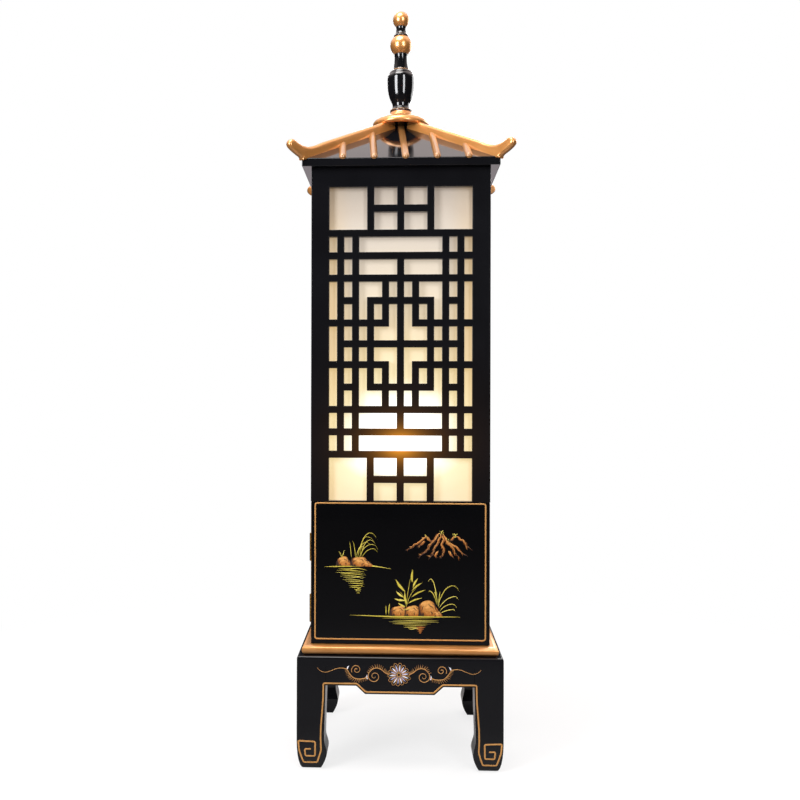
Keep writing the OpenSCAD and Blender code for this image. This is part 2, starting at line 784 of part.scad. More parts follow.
ridge(3);  // ridge_front_right
ridge(1);  // ridge_rear_left
ridge(0);  // ridge_rear_right
apex_block();
finial_disc();
finial_urn();
finial_ball_lower();
finial_neck();
finial_ball_top();
finial_rod();
finial_nut();
lamp_holder();
holder_nipple();
holder_nut();
switch_key();
bulb();
cable_grommet();
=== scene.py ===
"""Pagoda floor lamp: finishes, painted decoration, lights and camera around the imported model.

Metres throughout. +Z is up and the front, with the painted door, faces -Y.
"""
import json
import math
import bpy
import bmesh
import numpy as np
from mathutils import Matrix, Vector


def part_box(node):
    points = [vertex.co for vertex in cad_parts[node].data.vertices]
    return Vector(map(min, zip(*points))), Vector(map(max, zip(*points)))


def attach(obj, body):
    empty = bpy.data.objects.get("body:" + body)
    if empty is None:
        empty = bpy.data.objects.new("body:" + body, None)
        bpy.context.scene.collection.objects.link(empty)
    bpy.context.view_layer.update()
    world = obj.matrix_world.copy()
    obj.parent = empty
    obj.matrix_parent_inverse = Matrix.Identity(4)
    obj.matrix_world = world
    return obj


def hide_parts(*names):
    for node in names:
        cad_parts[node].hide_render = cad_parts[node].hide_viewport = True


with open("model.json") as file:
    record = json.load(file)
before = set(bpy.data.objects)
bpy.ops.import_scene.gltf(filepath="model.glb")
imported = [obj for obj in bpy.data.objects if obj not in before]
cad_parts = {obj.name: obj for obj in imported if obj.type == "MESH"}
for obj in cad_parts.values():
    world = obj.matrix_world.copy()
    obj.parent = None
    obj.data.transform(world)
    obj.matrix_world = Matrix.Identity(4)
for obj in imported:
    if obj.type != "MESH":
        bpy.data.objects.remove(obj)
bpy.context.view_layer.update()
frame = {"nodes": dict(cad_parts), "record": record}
scene = bpy.context.scene
MM = 0.001

# Sizes that the decoration is set out from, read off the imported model
CASE_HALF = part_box("front_lattice")[1][0]
DOOR_LOW, DOOR_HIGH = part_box("door")[0][2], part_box("door")[1][2]
STAND_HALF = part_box("stand_top")[1][0]
APRON_LOW, APRON_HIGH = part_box("apron_front")[0][2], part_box("apron_front")[1][2]
LEG_WIDE = 53.5 * MM
LEG_INNER = STAND_HALF - LEG_WIDE
ROOF_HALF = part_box("roof_base")[1][0]
ROOF_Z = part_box("roof_base")[1][2]
DISC_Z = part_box("finial_disc")[0][2]
BULB_LOW, BULB_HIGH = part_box("bulb")
BULB_CENTRE_Z = BULB_HIGH[2] - (BULB_HIGH[0] - BULB_LOW[0]) / 2
BODY_OF = {node: body for body, nodes in frame["record"]["behaviour"]["bodies"].items() for node in nodes}
SLOT_OF = {part["node"]: part["material_slot"] for part in frame["record"]["subparts"]}
SIDES = {"front": 0, "right": 1, "rear": 2, "left": 3}
AROUND = 96  # points round each turned piece, painted ring and the floor


def tint(red, green, blue):
    """A colour as the eye sees it, 0 to 255, turned into light: ((c + 0.055) / 1.055) to the power 2.4."""
    seen = np.array([red, green, blue]) / 255
    light = np.where(seen <= 0.04045, seen / 12.92, ((seen + 0.055) / 1.055) ** 2.4)
    return tuple(float(c) for c in light)


class Value:
    """A socket in a Python expression: each operator adds the Math node that it names."""

    def __init__(self, nodes, socket):
        self.nodes = nodes
        self.socket = socket

    def __add__(self, other):
        return self.nodes.maths("ADD", self, other)

    def __sub__(self, other):
        return self.nodes.maths("SUBTRACT", self, other)

    def __rsub__(self, other):
        return self.nodes.maths("SUBTRACT", other, self)

    def __mul__(self, other):
        return self.nodes.maths("MULTIPLY", self, other)

    def __truediv__(self, other):
        return self.nodes.maths("DIVIDE", self, other)

    def __rtruediv__(self, other):
        return self.nodes.maths("DIVIDE", other, self)

    def __pow__(self, other):
        return self.nodes.maths("POWER", self, other)

    __radd__ = __add__
    __rmul__ = __mul__


class NodeBook:
    """Adds nodes to one tree, each from one call."""

    def __init__(self, tree):
        self.tree = tree

    def link(self, value, socket):
        """Feeds a socket from another one, a number, or a colour, which gets its alpha here."""
        if isinstance(value, Value):
            self.tree.links.new(value.socket, socket)
        elif isinstance(value, tuple) and len(value) == 3 and len(socket.default_value) == 4:
            socket.default_value = (*value, 1)
        else:
            socket.default_value = value

    def node(self, kind, settings=None, inputs=None, out=0):
        """Adds one node: its settings are made first, then its sockets are fed. Gives its output socket."""
        made = self.tree.nodes.new("ShaderNode" + kind)
        for name, setting in (settings or {}).items():
            if name == "stops":
                self.stops(made.color_ramp, setting)
            else:
                setattr(made, name, setting)
        for name, value in (inputs or {}).items():
            self.link(value, made.inputs[name])
        return Value(self, made.outputs[out])

    def stops(self, ramp, stops):
        while len(ramp.elements) < len(stops):
            ramp.elements.new(0.5)
        for element, (place, colour) in zip(ramp.elements, stops):
            element.position = place
            element.color = (*colour, 1)

    def maths(self, operation, *values):
        return self.node("Math", {"operation": operation}, dict(enumerate(values)))

    def between(self, value, low, high):
        """0 below low, 1 above high and smooth between them."""
        return self.node("MapRange", {"interpolation_type": "SMOOTHSTEP"},
                         {"Value": value, "From Min": low, "From Max": high})

    def mix(self, share, first, second):
        return self.node("Mix", {"data_type": "RGBA"}, {0: share, 6: first, 7: second}, out=2)

    def ramp(self, value, *stops):
        return self.node("ValToRGB", {"stops": stops}, {"Fac": value})


class Finish(NodeBook):
    """A material: its main shader's constants by name, then what varies over the surface."""

    def __init__(self, name, **constants):
        self.material = bpy.data.materials.new(name)
        self.material.use_nodes = True
        super().__init__(self.material.node_tree)
        self.shader = self.tree.nodes["Principled BSDF"]
        for socket, value in constants.items():
            self.set(socket.replace("_", " ").title(), value)
        self.place = self.node("TexCoord", out="Object")
        self.axes = self.tree.nodes.new("ShaderNodeSeparateXYZ")
        self.link(self.place, self.axes.inputs[0])

    def set(self, name, value):
        name = name.replace("Ior", "IOR")
        self.link(value, self.shader.inputs[name])

    def axis(self, name):
        return Value(self, self.axes.outputs[name])

    def stretched(self, x, y, z):
        return self.node("Mapping", None, {"Vector": self.place, "Scale": (x, y, z)})

    def noise(self, scale, detail, rough=0.5, where=None):
        """Cloudy noise from 0 to 1 with scale clouds to the metre."""
        inputs = {"Vector": where or self.place, "Scale": scale, "Detail": detail, "Roughness": rough}
        return self.node("TexNoise", None, inputs)

    def bump(self, height, depth, strength=1.0):
        """A fine relief: where height is 1 the surface stands depth metres up."""
        inputs = {"Height": height, "Distance": depth, "Strength": strength}
        self.set("Normal", self.node("Bump", None, inputs))

    def off_axis(self, pick):
        """The smaller (MINIMUM) or the larger (MAXIMUM) of the distances from the axis along X and Y."""
        return self.maths(pick, *(self.maths("ABSOLUTE", self.axis(name)) for name in "XY"))

    def tone(self):
        """The tone that each point of a brush mark carries, from dark at 0 to pale at 1."""
        return self.node("Attribute", {"attribute_name": "tone"}, out="Fac")


# Finishes
def black_lacquer(name="black lacquer", depth=1.0, dull=0.05, coat=0.25, **constants):
    """Black gloss lacquer: faint waves, duller patches and fine dust. Its colour is scaled by depth."""
    finish = Finish(name, coat_roughness=0.03, **constants)
    patches = finish.noise(14, 3)
    dust = finish.noise(1400, 1)
    finish.set("Base Color", finish.mix(patches, tint(11 * depth, 11 * depth, 13 * depth),
                                        tint(18 * depth, 18 * depth, 21 * depth)))
    finish.set("Roughness", dull + 0.07 * patches + 0.02 * dust)
    finish.set("Coat Weight", coat - 0.6 * coat * patches)
    finish.bump(finish.noise(30, 1) + 0.01 * dust, 0.00006)
    return finish.material


def lit_fretwork():
    """The same lacquer on the fretwork, with the bulb's orange spill painted on the bars beside it as a glow.

    The painted spill glows as 1 / (1 + (d / spill_reach) squared) squared. Here d is the distance from the
    bulb in the window, its square taken as half the square across plus the square upwards. A faint painted
    brown glow runs wider.
    """
    spill_reach, haze_reach = 28 * MM, 110 * MM
    finish = Finish("fretwork lacquer with painted spill", emission_strength=1.0)
    patches = finish.noise(14, 3)
    across = finish.off_axis("MINIMUM")
    up = finish.axis("Z") - BULB_CENTRE_Z
    away_sq = across * across * 0.5 + up * up
    spill = (1.0 / (1.0 + away_sq / spill_reach**2)) ** 2.0
    haze = (1.0 / (1.0 + away_sq / haze_reach**2)) ** 2.0
    finish.set("Base Color", finish.mix(patches, tint(11, 11, 13), tint(18, 18, 21)))
    finish.set("Roughness", 0.07 + 0.07 * patches)
    # Painted light: emission on the bars, a faint brown glow widening round the bulb, and its orange spill
    brown = finish.mix(haze, (0.0004, 0.0004, 0.0005), (0.009, 0.005, 0.002))
    finish.set("Emission Color", finish.mix(spill, brown, (1.15, 0.42, 0.03)))
    finish.bump(finish.noise(30, 1), 0.00006)
    return finish.material


def gold_paint(name="gold paint", light=1.0, metal=0.64, coat_dull=0.2, bare_within=None):
    """Satin gold paint over a brown ground: fine metal grains, cloudy patches, a little worn brown.

    Its colour is scaled by light. A side that stands less than bare_within from the lamp's axis is left
    dark and unpainted.
    """
    finish = Finish(name, coat_roughness=coat_dull, coat_ior=1.75)
    grain = finish.noise(2600, 2, 0.6)
    patches = finish.noise(24, 2, 0.5)
    worn = finish.between(finish.noise(70, 4, 0.6), 0.58, 0.76)
    gold = finish.mix(patches, tint(222 * light, 142 * light, 62 * light),
                      tint(244 * light, 174 * light, 100 * light))
    gold = finish.mix(0.1 * grain, gold, tint(238, 188, 128))
    gold = finish.mix(0.1 * worn, gold, tint(150, 86, 38))
    metallic, coat = metal - 0.05 * worn, 0.95 - 0.15 * patches
    if bare_within:
        painted = finish.between(finish.off_axis("MAXIMUM"), bare_within - MM, bare_within)
        gold = finish.mix(painted, tint(30, 24, 18), gold)
        metallic, coat = metallic * painted, coat * painted
    finish.set("Base Color", gold)
    finish.set("Metallic", metallic)
    finish.set("Roughness", 0.3 + 0.03 * patches + 0.02 * grain)
    finish.set("Coat Weight", coat)
    finish.bump(patches * 0.2 + grain * 0.004, 0.00006)
    return finish.material


def line_gold():
    """The thinner gold of the painted lines, duller than the mouldings, streaked and thin in places."""
    finish = Finish("line gold")
    streaks = finish.noise(900, 3, 0.6)
    thin = finish.between(finish.noise(160, 3), 0.5, 0.75)
    gold = finish.mix(streaks, tint(196, 138, 72), tint(218, 162, 94))
    finish.set("Base Color", finish.mix(0.25 * thin, gold, tint(150, 96, 42)))
    finish.set("Metallic", 0.28 + 0.1 * streaks)
    finish.set("Roughness", 0.45 + 0.08 * streaks)
    finish.bump(streaks, 0.000015)
    return finish.material


def picture_paint(name, dark, middle, pale, streaky=0.8):
    """Thin picture paint: its tone along each brush mark runs from dark through middle to pale."""
    finish = Finish(name)
    streaks = finish.noise(420, 4, 0.7)
    tone = finish.tone() + streaky * (streaks - 0.5)
    finish.set("Base Color", finish.ramp(tone, (0.15, dark), (0.5, middle), (0.85, pale)))
    finish.set("Roughness", 0.45 + 0.2 * streaks)
    finish.bump(streaks, 0.00004)
    return finish.material


def shade_paper():
    """Cream paper with a painted glow for the bulb: white beside it, then yellow, then cool cream at the top.

    The painted glow runs with the distance from the bulb in the sheet's own plane. Below the bulb the
    distance counts for more, as painted shade from the lamp holder on the lower rows. The sheet's edges get a
    yellower painted glow, and it dims fast at the top as painted shade under the roof.
    """
    finish = Finish("shade paper", roughness=0.8, emission_strength=1.8)
    up = finish.axis("Z") - BULB_CENTRE_Z
    # Painted shade: below the bulb the distance counts 1.65 times, for the lamp holder's shadow
    holder_shaded_drop = finish.maths("MAXIMUM", up, -1.65 * up)
    across = finish.off_axis("MINIMUM")
    away = finish.maths("SQRT", across * across + holder_shaded_drop * holder_shaded_drop)
    fibres = finish.noise(420, 5, 0.7)
    cloud = finish.noise(9, 2)
    reach = away / 0.5 + 0.06 * (cloud - 0.5)
    # The painted glow: the bulb's light through the paper, as emission by the distance from it
    glow = finish.ramp(
        reach, (0.13, (0.92, 0.9, 0.86)), (0.2, (0.6, 0.55, 0.42)), (0.255, (0.46, 0.38, 0.21)),
        (0.34, (0.4, 0.31, 0.16)), (0.45, (0.345, 0.27, 0.16)), (0.62, (0.3, 0.25, 0.185)),
        (0.76, (0.245, 0.21, 0.172)), (0.84, (0.2, 0.17, 0.142)), (0.91, (0.14, 0.11, 0.088)),
        (1.0, (0.09, 0.07, 0.055)))
    # A yellower painted glow towards the sheet's edges
    edge = finish.between(across, 0.085, 0.13) * (0.25 + 0.75 * finish.between(reach, 0.24, 0.65))
    painted_glow_colour = finish.node("Mix", {"data_type": "RGBA", "blend_type": "MULTIPLY"},
                        {0: edge, 6: glow, 7: (1.1, 0.93, 0.62)}, out=2)
    finish.set("Emission Color", painted_glow_colour)
    finish.set("Base Color", finish.mix(fibres, tint(150, 142, 130), tint(162, 154, 142)))
    finish.bump(fibres, 0.0001, 0.5)
    return finish.material


def aged_brass():
    """Brass browned with age: brighter on worn patches, spotted, with fine scratches along its length."""
    finish = Finish("aged brass", metallic=1.0)
    spots = finish.noise(260, 4, 0.6)
    scratches = finish.noise(500, 2, where=finish.stretched(1, 1, 0.05))
    browned = finish.between(spots, 0.35, 0.65)
    finish.set("Base Color", finish.mix(browned, tint(112, 78, 34), tint(196, 156, 84)))
    finish.set("Roughness", 0.28 + 0.22 * spots + 0.1 * scratches)
    finish.bump(scratches, 0.00004)
    return finish.material


def zinc_steel():
    """Zinc plated steel with a dull spangle."""
    finish = Finish("zinc steel", metallic=1.0)
    spangle = finish.node("TexVoronoi", None, {"Vector": finish.place, "Scale": 420.0})
    finish.set("Base Color", finish.mix(spangle, tint(150, 152, 156), tint(190, 192, 196)))
    finish.set("Roughness", 0.3 + 0.2 * spangle)
    finish.bump(spangle, 0.00003)
    return finish.material


def bare_wood():
    """Sawn softwood: growth rings drawn out along the board, pores and saw marks."""
    finish = Finish("bare wood")
    rings = finish.node("TexWave", {"wave_type": "BANDS", "bands_direction": "Y"},
                        {"Vector": finish.stretched(0.3, 1, 1), "Scale": 38.0, "Distortion": 5.0,
                         "Detail": 3.0}, out="Fac")
    pores = finish.noise(900, 3, where=finish.stretched(0.05, 1, 1))
    wood = finish.mix(rings, tint(196, 160, 112), tint(160, 118, 72))
    finish.set("Base Color", finish.mix(0.4 * pores, wood, tint(120, 84, 48)))
    finish.set("Roughness", 0.6 + 0.2 * pores)
    finish.bump(rings * 0.4 + pores, 0.0002)
    return finish.material


def frosted_glass():
    """The lit bulb: frosted glass that glows warm white, its metal cap hidden in the holder."""
    cap_h, fade_h = 34 * MM, 4 * MM
    finish = Finish("lit frosted glass", roughness=0.35, emission_strength=6.0)
    frost = finish.noise(600, 3)
    glass = finish.between(finish.axis("Z"), BULB_LOW[2] + cap_h, BULB_LOW[2] + cap_h + fade_h)
    finish.set("Emission Color", finish.mix(glass, (0.0, 0.0, 0.0), (1.0, 0.78, 0.5)))
    finish.set("Base Color", finish.mix(glass, tint(150, 150, 150), tint(250, 244, 232)))
    finish.bump(frost, 0.00005)
    return finish.material


def moulded(name, colour, dull, grain):
    """Moulded rubber or plastic: an even colour with a fine grain and slightly duller patches."""
    finish = Finish(name)
    fine = finish.noise(grain, 3)
    finish.set("Base Color", finish.mix(fine, colour, tuple(1.25 * c for c in colour)))
    finish.set("Roughness", dull + 0.2 * fine)
    finish.bump(fine, 0.00006)
    return finish.material


LACQUER = black_lacquer()
# Painted shade: the door's lacquer is the same black at half its colour, so the door reads darker; it also
# shines less
SHADED_DOOR_LACQUER = black_lacquer("shaded door lacquer", depth=0.5, dull=0.03, specular_ior_level=0.4)
STAND_LACQUER = black_lacquer("stand lacquer", depth=1.05, dull=0.06, coat=0.05, specular_ior_level=0.3)
FINIAL_LACQUER = black_lacquer("finial lacquer", depth=0.8, dull=0.08, coat=0.8, coat_ior=1.55)
FRETWORK = lit_fretwork()
GOLD = gold_paint()
# Painted shade: the ribs' gold is the same paint at 0.7 of its colour and less metal, for their darker sides
SHADED_RIB_GOLD = gold_paint("shaded rib gold", light=0.7, metal=0.25, coat_dull=0.06)
MOULDING_GOLD = gold_paint("moulding gold", bare_within=CASE_HALF - 2 * MM)
LINE_GOLD = line_gold()
ROCK_PAINT = picture_paint("rock paint", tint(44, 16, 2), tint(172, 98, 22), tint(232, 168, 88), streaky=0.7)
REED_PAINT = picture_paint("reed paint", tint(112, 100, 20), tint(196, 176, 50), tint(230, 212, 96))
PETAL_PAINT = picture_paint("petal paint", tint(120, 116, 160), tint(206, 204, 228), tint(244, 242, 250))
FINISH_OF = {"lacquer": LACQUER, "gilding": GOLD, "shade_paper": shade_paper(), "bare_wood": bare_wood(),
             "brass": aged_brass(), "steel": zinc_steel(), "bulb_glass": frosted_glass(),
             "rubber": moulded("grommet rubber", tint(26, 26, 26), 0.55, 800),
             "catch_plastic": moulded("catch plastic", tint(62, 50, 42), 0.4, 500)}


# Making pieces
def piece_from(name, mesh, material, body, slot, *replaced):
    """A finished piece: it rides on a body, takes a finish and may stand for nodes. The slot is not used."""
    piece = bpy.data.objects.new(name, mesh)
    scene.collection.objects.link(piece)
    mesh.materials.clear()
    mesh.materials.append(material)
    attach(piece, body)
    if replaced:
        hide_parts(*replaced)
    return piece


def grid_faces(rows, columns, wrap_rows=False, wrap_columns=True):
    """Quads of a grid of points numbered row by row, as an array of four corners each."""
    r = np.arange(rows if wrap_rows else rows - 1)
    c = np.arange(columns if wrap_columns else columns - 1)
    r, c = np.meshgrid(r, c, indexing="ij")
    r2, c2 = (r + 1) % rows, (c + 1) % columns
    corners = [r * columns + c, r * columns + c2, r2 * columns + c2, r2 * columns + c]
    return np.stack(corners, -1).reshape(-1, 4)


def tube_faces(rows, columns):
    """Faces of a tube of points numbered ring by ring, with one face over each end, as a list."""
    last = (rows - 1) * columns
    ends = [list(range(columns))[::-1], list(range(last, last + columns))]
    return grid_faces(rows, columns).tolist() + ends


def set_round(s, out, z, turn):
    """Points s to the right and out from the axis, carried round the lamp from the front by an angle."""
    x = s * math.cos(turn) + out * math.sin(turn)
    y = s * math.sin(turn) - out * math.cos(turn)
    return np.stack([x, y, z], -1).reshape(-1, 3)


def shell(name, points, faces, smooth_angle, material, body, slot, *replaced, tone=None):
    """A closed piece of points and faces: normals outwards, edges sharper than smooth_angle kept."""
    mesh = bpy.data.meshes.new(name)
    mesh.from_pydata(points.reshape(-1, 3).tolist(), [], faces)
    if tone is not None:
        mesh.attributes.new("tone", "FLOAT", "POINT").data.foreach_set("value", np.asarray(tone, np.float32))
    work = bmesh.new()
    work.from_mesh(mesh)
    bmesh.ops.recalc_face_normals(work, faces=work.faces)
    work.to_mesh(mesh)
    work.free()
    mesh.shade_smooth()
    mesh.set_sharp_from_angle(angle=math.radians(smooth_angle))
    piece_from(name, mesh, material, body, slot, *replaced)


def smooth_curve(points, steps):
    """A curve through the points, in cubics whose slope at a point is half the way past it.

    That way runs from the point before to the point after, and at the curve's ends it is one whole step.
    """
    p = np.asarray(points, float)
    slopes = np.gradient(p, axis=0)
    t = np.linspace(0, 1, steps, endpoint=False)[None, :, None]
    a, b, m, n = p[:-1, None], p[1:, None], slopes[:-1, None], slopes[1:, None]
    curve = ((2 * t**3 - 3 * t**2 + 1) * a + (t**3 - 2 * t**2 + t) * m + (3 * t**2 - 2 * t**3) * b
             + (t**3 - t**2) * n).reshape(-1, p.shape[1])
    return np.vstack([curve, p[-1]])


def edge_share(node, z):
    """How much of its rounding an edge at height z takes: a sole most, a joint under the top board least."""
    sole_h, leg_share, joint_share = 25 * MM, 0.4, 0.08
    under_board = node.startswith(("leg_", "apron_")) and z > APRON_HIGH - MM
    if under_board or node == "stand_top" and z < APRON_HIGH + MM:
        return joint_share
    return leg_share if node.startswith("leg_") and z >= sole_h else 1.0


def soft_copy(node, edge, material):
    """A copy of a CAD node with its triangles joined and its sharp edges rounded to the width edge."""
    sharp = math.radians(35)
    mesh = frame["nodes"][node].data.copy()
    work = bmesh.new()
    work.from_mesh(mesh)
    bmesh.ops.remove_doubles(work, verts=work.verts, dist=2e-6)
    bmesh.ops.dissolve_limit(work, angle_limit=math.radians(0.5), verts=work.verts, edges=work.edges)
    share = work.edges.layers.float.new("bevel_weight_edge")
    for line in work.edges:
        if len(line.link_faces) == 2 and line.calc_face_angle() > sharp:
            line[share] = edge_share(node, (line.verts[0].co.z + line.verts[1].co.z) / 2)
    work.to_mesh(mesh)
    work.free()
    mesh.shade_smooth()
    mesh.set_sharp_from_angle(angle=sharp)
    piece = piece_from(node + "_finished", mesh, material, BODY_OF[node], SLOT_OF[node], node)
    if edge:
        bevel = piece.modifiers.new("rounded edges", "BEVEL")
        bevel.width = edge
        bevel.segments = 3
        bevel.limit_method = "WEIGHT"
        bevel.harden_normals = True


def turned(node, shares, material, smooth=True):
    """A turned piece: an outline of (share of the radius, share of the height) spun round the axis."""
    low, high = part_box(node)
    radius, height = high[0], high[2] - low[2]
    outline = np.array(shares, float)
    if smooth:
        outline = smooth_curve(outline, 6)
    outline = np.clip(outline, [0, 0], [1, 1])
    angle = np.linspace(0, 2 * np.pi, AROUND, endpoint=False)
    rings = outline[1:-1]
    r = rings[:, :1] * radius
    points = np.stack([r * np.cos(angle), r * np.sin(angle),
                       np.broadcast_to(low[2] + rings[:, 1:] * height, (len(rings), AROUND))], -1)
    poles = np.array([[0, 0, low[2] + outline[0, 1] * height], [0, 0, low[2] + outline[-1, 1] * height]])
    count = len(rings) * AROUND
    faces = grid_faces(len(rings), AROUND).tolist()
    first, last = np.arange(AROUND), count - AROUND + np.arange(AROUND)
    faces += [[count, b, a] for a, b in zip(first, np.roll(first, -1))]
    faces += [[count + 1, a, b] for a, b in zip(last, np.roll(last, -1))]
    points = np.vstack([points.reshape(-1, 3), poles])
    shell(node + "_turned", points, faces, 38, material, BODY_OF[node], SLOT_OF[node], node)


class Brushwork:
    """Raised paint on one side of the lamp, gathered into one mesh.

    A point is (s, z): s to the right and z up, seen from outside. The ground is how far the painted
    surface stands from the lamp's axis, as a function of z.
    """

    def __init__(self, side, ground):
        self.turn = math.pi / 2 * SIDES[side]
        self.ground = ground
        self.points, self.faces, self.tones, self.count = [], [], [], 0

    def keep(self, s, z, rise, faces, tone):
        """Adds points that rise above the ground, turned to their side of the lamp, and their faces."""
        self.points.append(set_round(s, self.ground(z) + rise, z, self.turn))
        self.faces += [[corner + self.count for corner in face] for face in faces]
        self.tones.append(np.broadcast_to(tone, s.shape).reshape(-1))
        self.count += s.size

    def stroke(self, path, half_width, thick, closed=False, tone=0.5, lift=0.0):
        """A band of paint along a path: its section is a low arch whose edges lie just in the ground."""
        path = np.asarray(path, float)
        n = len(path)
        slope = (np.roll(path, -1, 0) - np.roll(path, 1, 0)) if closed else np.gradient(path, axis=0)
        slope /= np.maximum(np.linalg.norm(slope, axis=1, keepdims=True), 1e-9)
        across = np.array([-1, -0.72, 0, 0.72, 1])
        arch = np.array([-0.3, 0.75, 1, 0.75, -0.3])
        width = np.broadcast_to(half_width, n)[:, None] * across
        s = path[:, :1] - slope[:, 1:] * width
        z = path[:, 1:] + slope[:, :1] * width
        faces = grid_faces(n, 5, wrap_rows=True).tolist() if closed else tube_faces(n, 5)
        rise = np.broadcast_to(lift + thick * arch, s.shape)
        self.keep(s, z, rise, faces, np.broadcast_to(tone, n)[:, None])

    def dab(self, path, widest, tone, peak=0.4, thick=0.2 * MM, lift=0.0):
        """A brush mark that swells to its widest place at the share peak of its length and then tapers."""
        path = smooth_curve(path, 6)
        t = np.linspace(0, 1, len(path))
        swell = np.where(t < peak, t / peak, (1 - t) / (1 - peak))
        self.stroke(path, widest * (0.08 + 0.92 * np.sin(np.pi / 2 * swell)), thick, tone=tone, lift=lift)

    def stone(self, s0, z0, half, tall, lean):
        """A boulder on its base line: a low dome, its lower part pressed flat, with brush marks on it.

        Its outline is an ellipse with two gentle waves, cut level a quarter below its middle. At a share of
        the way out it rises by 1 less that share's cube. It darkens towards the outline and in a shadow at
        the lower left. The marks are dark cracks and pale lights: arcs at a share of the outline, from one
        angle to another, with their width and tone.
        """
        thick, rings, around = 0.3 * MM, 9, 40

        def outline(out, angle):
            edge = 1 + 0.05 * np.sin(3 * angle + 700 * half) + 0.03 * np.sin(5 * angle + 2)
            u = out * edge * np.cos(angle)
            v = np.maximum(out * edge * np.sin(angle), -0.25 * out)
            return u, v, s0 + half * (u + lean * v), z0 + tall * (v + 0.25) / 1.25

        angle = np.linspace(0, 2 * np.pi, around, endpoint=False)
        out, angle = np.meshgrid(np.linspace(1, 0.06, rings), angle, indexing="ij")
        u, v, s, z = outline(out, angle)
        rise = thick * (1 - out**3)
        rise[0] = -0.3 * thick
        shadow = np.maximum(0, -0.75 * u - 0.3 * v - 0.12) * out
        tones = np.clip(0.56 + 0.36 * v - 0.3 * out**5 - 1.7 * shadow, 0, 1)
        self.keep(s, z, rise, tube_faces(rings, around), tones)
        marks = ((0.86, 8, 62, 0.6, 0.0), (0.62, 30, 88, 0.5, 0.04), (0.6, 118, 160, 0.5, 0.04),
                 (0.42, 168, 226, 1.1, 0.1), (0.34, -30, 38, 0.7, 0.12), (0.8, 96, 136, 0.9, 1.0),
                 (0.46, 64, 122, 0.9, 0.92))
        for share, start, stop, wide, tone in marks:
            angle = np.radians(np.linspace(start, stop, 12))
            share = share * (1 + 0.06 * np.sin(9 * angle + 900 * half))
            s, z = outline(share, angle)[2:]
            self.dab(np.column_stack([s, z]), wide * (0.65 + 0.045 * half / MM) * MM, tone=tone, peak=0.5,
                     thick=0.12 * MM, lift=thick * (1 - float(share.mean())**3))

    def finish(self, name, material, body):
        """Makes what was gathered one piece, with its tones on its points."""
        tones = np.concatenate(self.tones)
        shell(name, np.vstack(self.points), self.faces, 60, material, body, "gilding", tone=tones)


def on_flat(side, out):
    """Brushwork on a level side that stands out from the lamp's axis by the same distance all over."""
    return Brushwork(side, lambda z: out + 0 * z)


def rounded_path(corners, radius, closed=False):
    """Straight runs whose corners are eased by arcs: each arc is a quadratic curve from side to side."""
    p = np.asarray(corners, float)
    n = len(p)
    path = [] if closed else [p[:1]]
    t = np.linspace(0, 1, 6)[:, None]
    for i in range(n) if closed else range(1, n - 1):
        before, here, after = p[i - 1], p[i], p[(i + 1) % n]
        back, ahead = before - here, after - here
        back *= min(radius / np.linalg.norm(back), 0.45)
        ahead *= min(radius / np.linalg.norm(ahead), 0.45)
        path.append((1 - t) ** 2 * (here + back) + 2 * t * (1 - t) * here + t**2 * (here + ahead))
    return np.vstack(path if closed else path + [p[-1:]])


def filled_in(path, longest):
    """The same path with points added so that no stretch is longer than longest."""
    out = [path[:1]]
    for a, b in zip(path[:-1], path[1:]):
        count = max(1, int(np.ceil(np.linalg.norm(b - a) / longest)))
        out.append(a + (b - a) * np.linspace(0, 1, count + 1)[1:, None])
    return np.vstack(out)


# Turned finial
def finial():
    """The disc, the urn, its neck and the two balls, with a painted line round the urn's shoulder and foot.

    Each outline runs from the axis at the foot to the axis at the top. A ball's is a circle cut level
    where it meets its neighbours.
    """
    disc = [(0, 0), (0.86, 0), (0.9, 0.01), (0.965, 0.06), (0.995, 0.14), (0.993, 0.22), (0.975, 0.31),
            (0.93, 0.4), (0.85, 0.5), (0.76, 0.575), (0.65, 0.625), (0.55, 0.65), (0.495, 0.675),
            (0.487, 0.74), (0.478, 0.8), (0.455, 0.84), (0.42, 0.87), (0.4, 0.9), (0.385, 0.95),
            (0.37, 0.99), (0.35, 1.0), (0, 1)]
    urn = [(0, 0), (0.72, 0), (0.785, 0.012), (0.8, 0.026), (0.775, 0.04), (0.7, 0.055), (0.635, 0.08),
           (0.62, 0.11), (0.645, 0.15), (0.735, 0.19), (0.83, 0.245), (0.9, 0.3), (0.945, 0.35),
           (0.972, 0.4), (0.988, 0.45), (0.998, 0.5), (1.0, 0.55), (0.996, 0.585), (0.98, 0.61),
           (0.94, 0.632), (0.9, 0.645), (0.875, 0.655), (0.85, 0.675), (0.78, 0.697), (0.66, 0.715),
           (0.59, 0.728), (0.56, 0.745), (0.54, 0.775), (0.51, 0.83), (0.486, 0.89), (0.474, 0.95),
           (0.47, 1.0), (0, 1)]
    neck = [(0, 0), (0.93, 0.0), (1.0, 0.03), (0.98, 0.1), (0.86, 0.2), (0.76, 0.32), (0.7, 0.46),
            (0.68, 0.62), (0.67, 0.8), (0.67, 1.0), (0, 1)]
    turned("finial_disc", disc, GOLD)
    turned("finial_urn", urn, FINIAL_LACQUER)
    turned("finial_neck", neck, FINIAL_LACQUER)
    for node in ("finial_ball_lower", "finial_ball_top"):
        low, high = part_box(node)
        r, h = high[0], high[2] - low[2]
        centre = h - r if node == "finial_ball_top" else h / 2
        angle = np.linspace(-math.asin(min(centre / r, 1)), math.asin(min((h - centre) / r, 1)), 40)
        ball = [(0, 0), *zip(np.cos(angle), (centre + r * np.sin(angle)) / h), (0, 1)]
        turned(node, ball, GOLD, smooth=False)
    low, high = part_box("finial_urn")
    for name, share_out, share_up in (("shoulder", 0.605, 0.725), ("foot", 0.79, 0.03)):
        ring("finial_" + name + "_line", share_out * high[0], low[2] + share_up * (high[2] - low[2]))
    disc_underside()


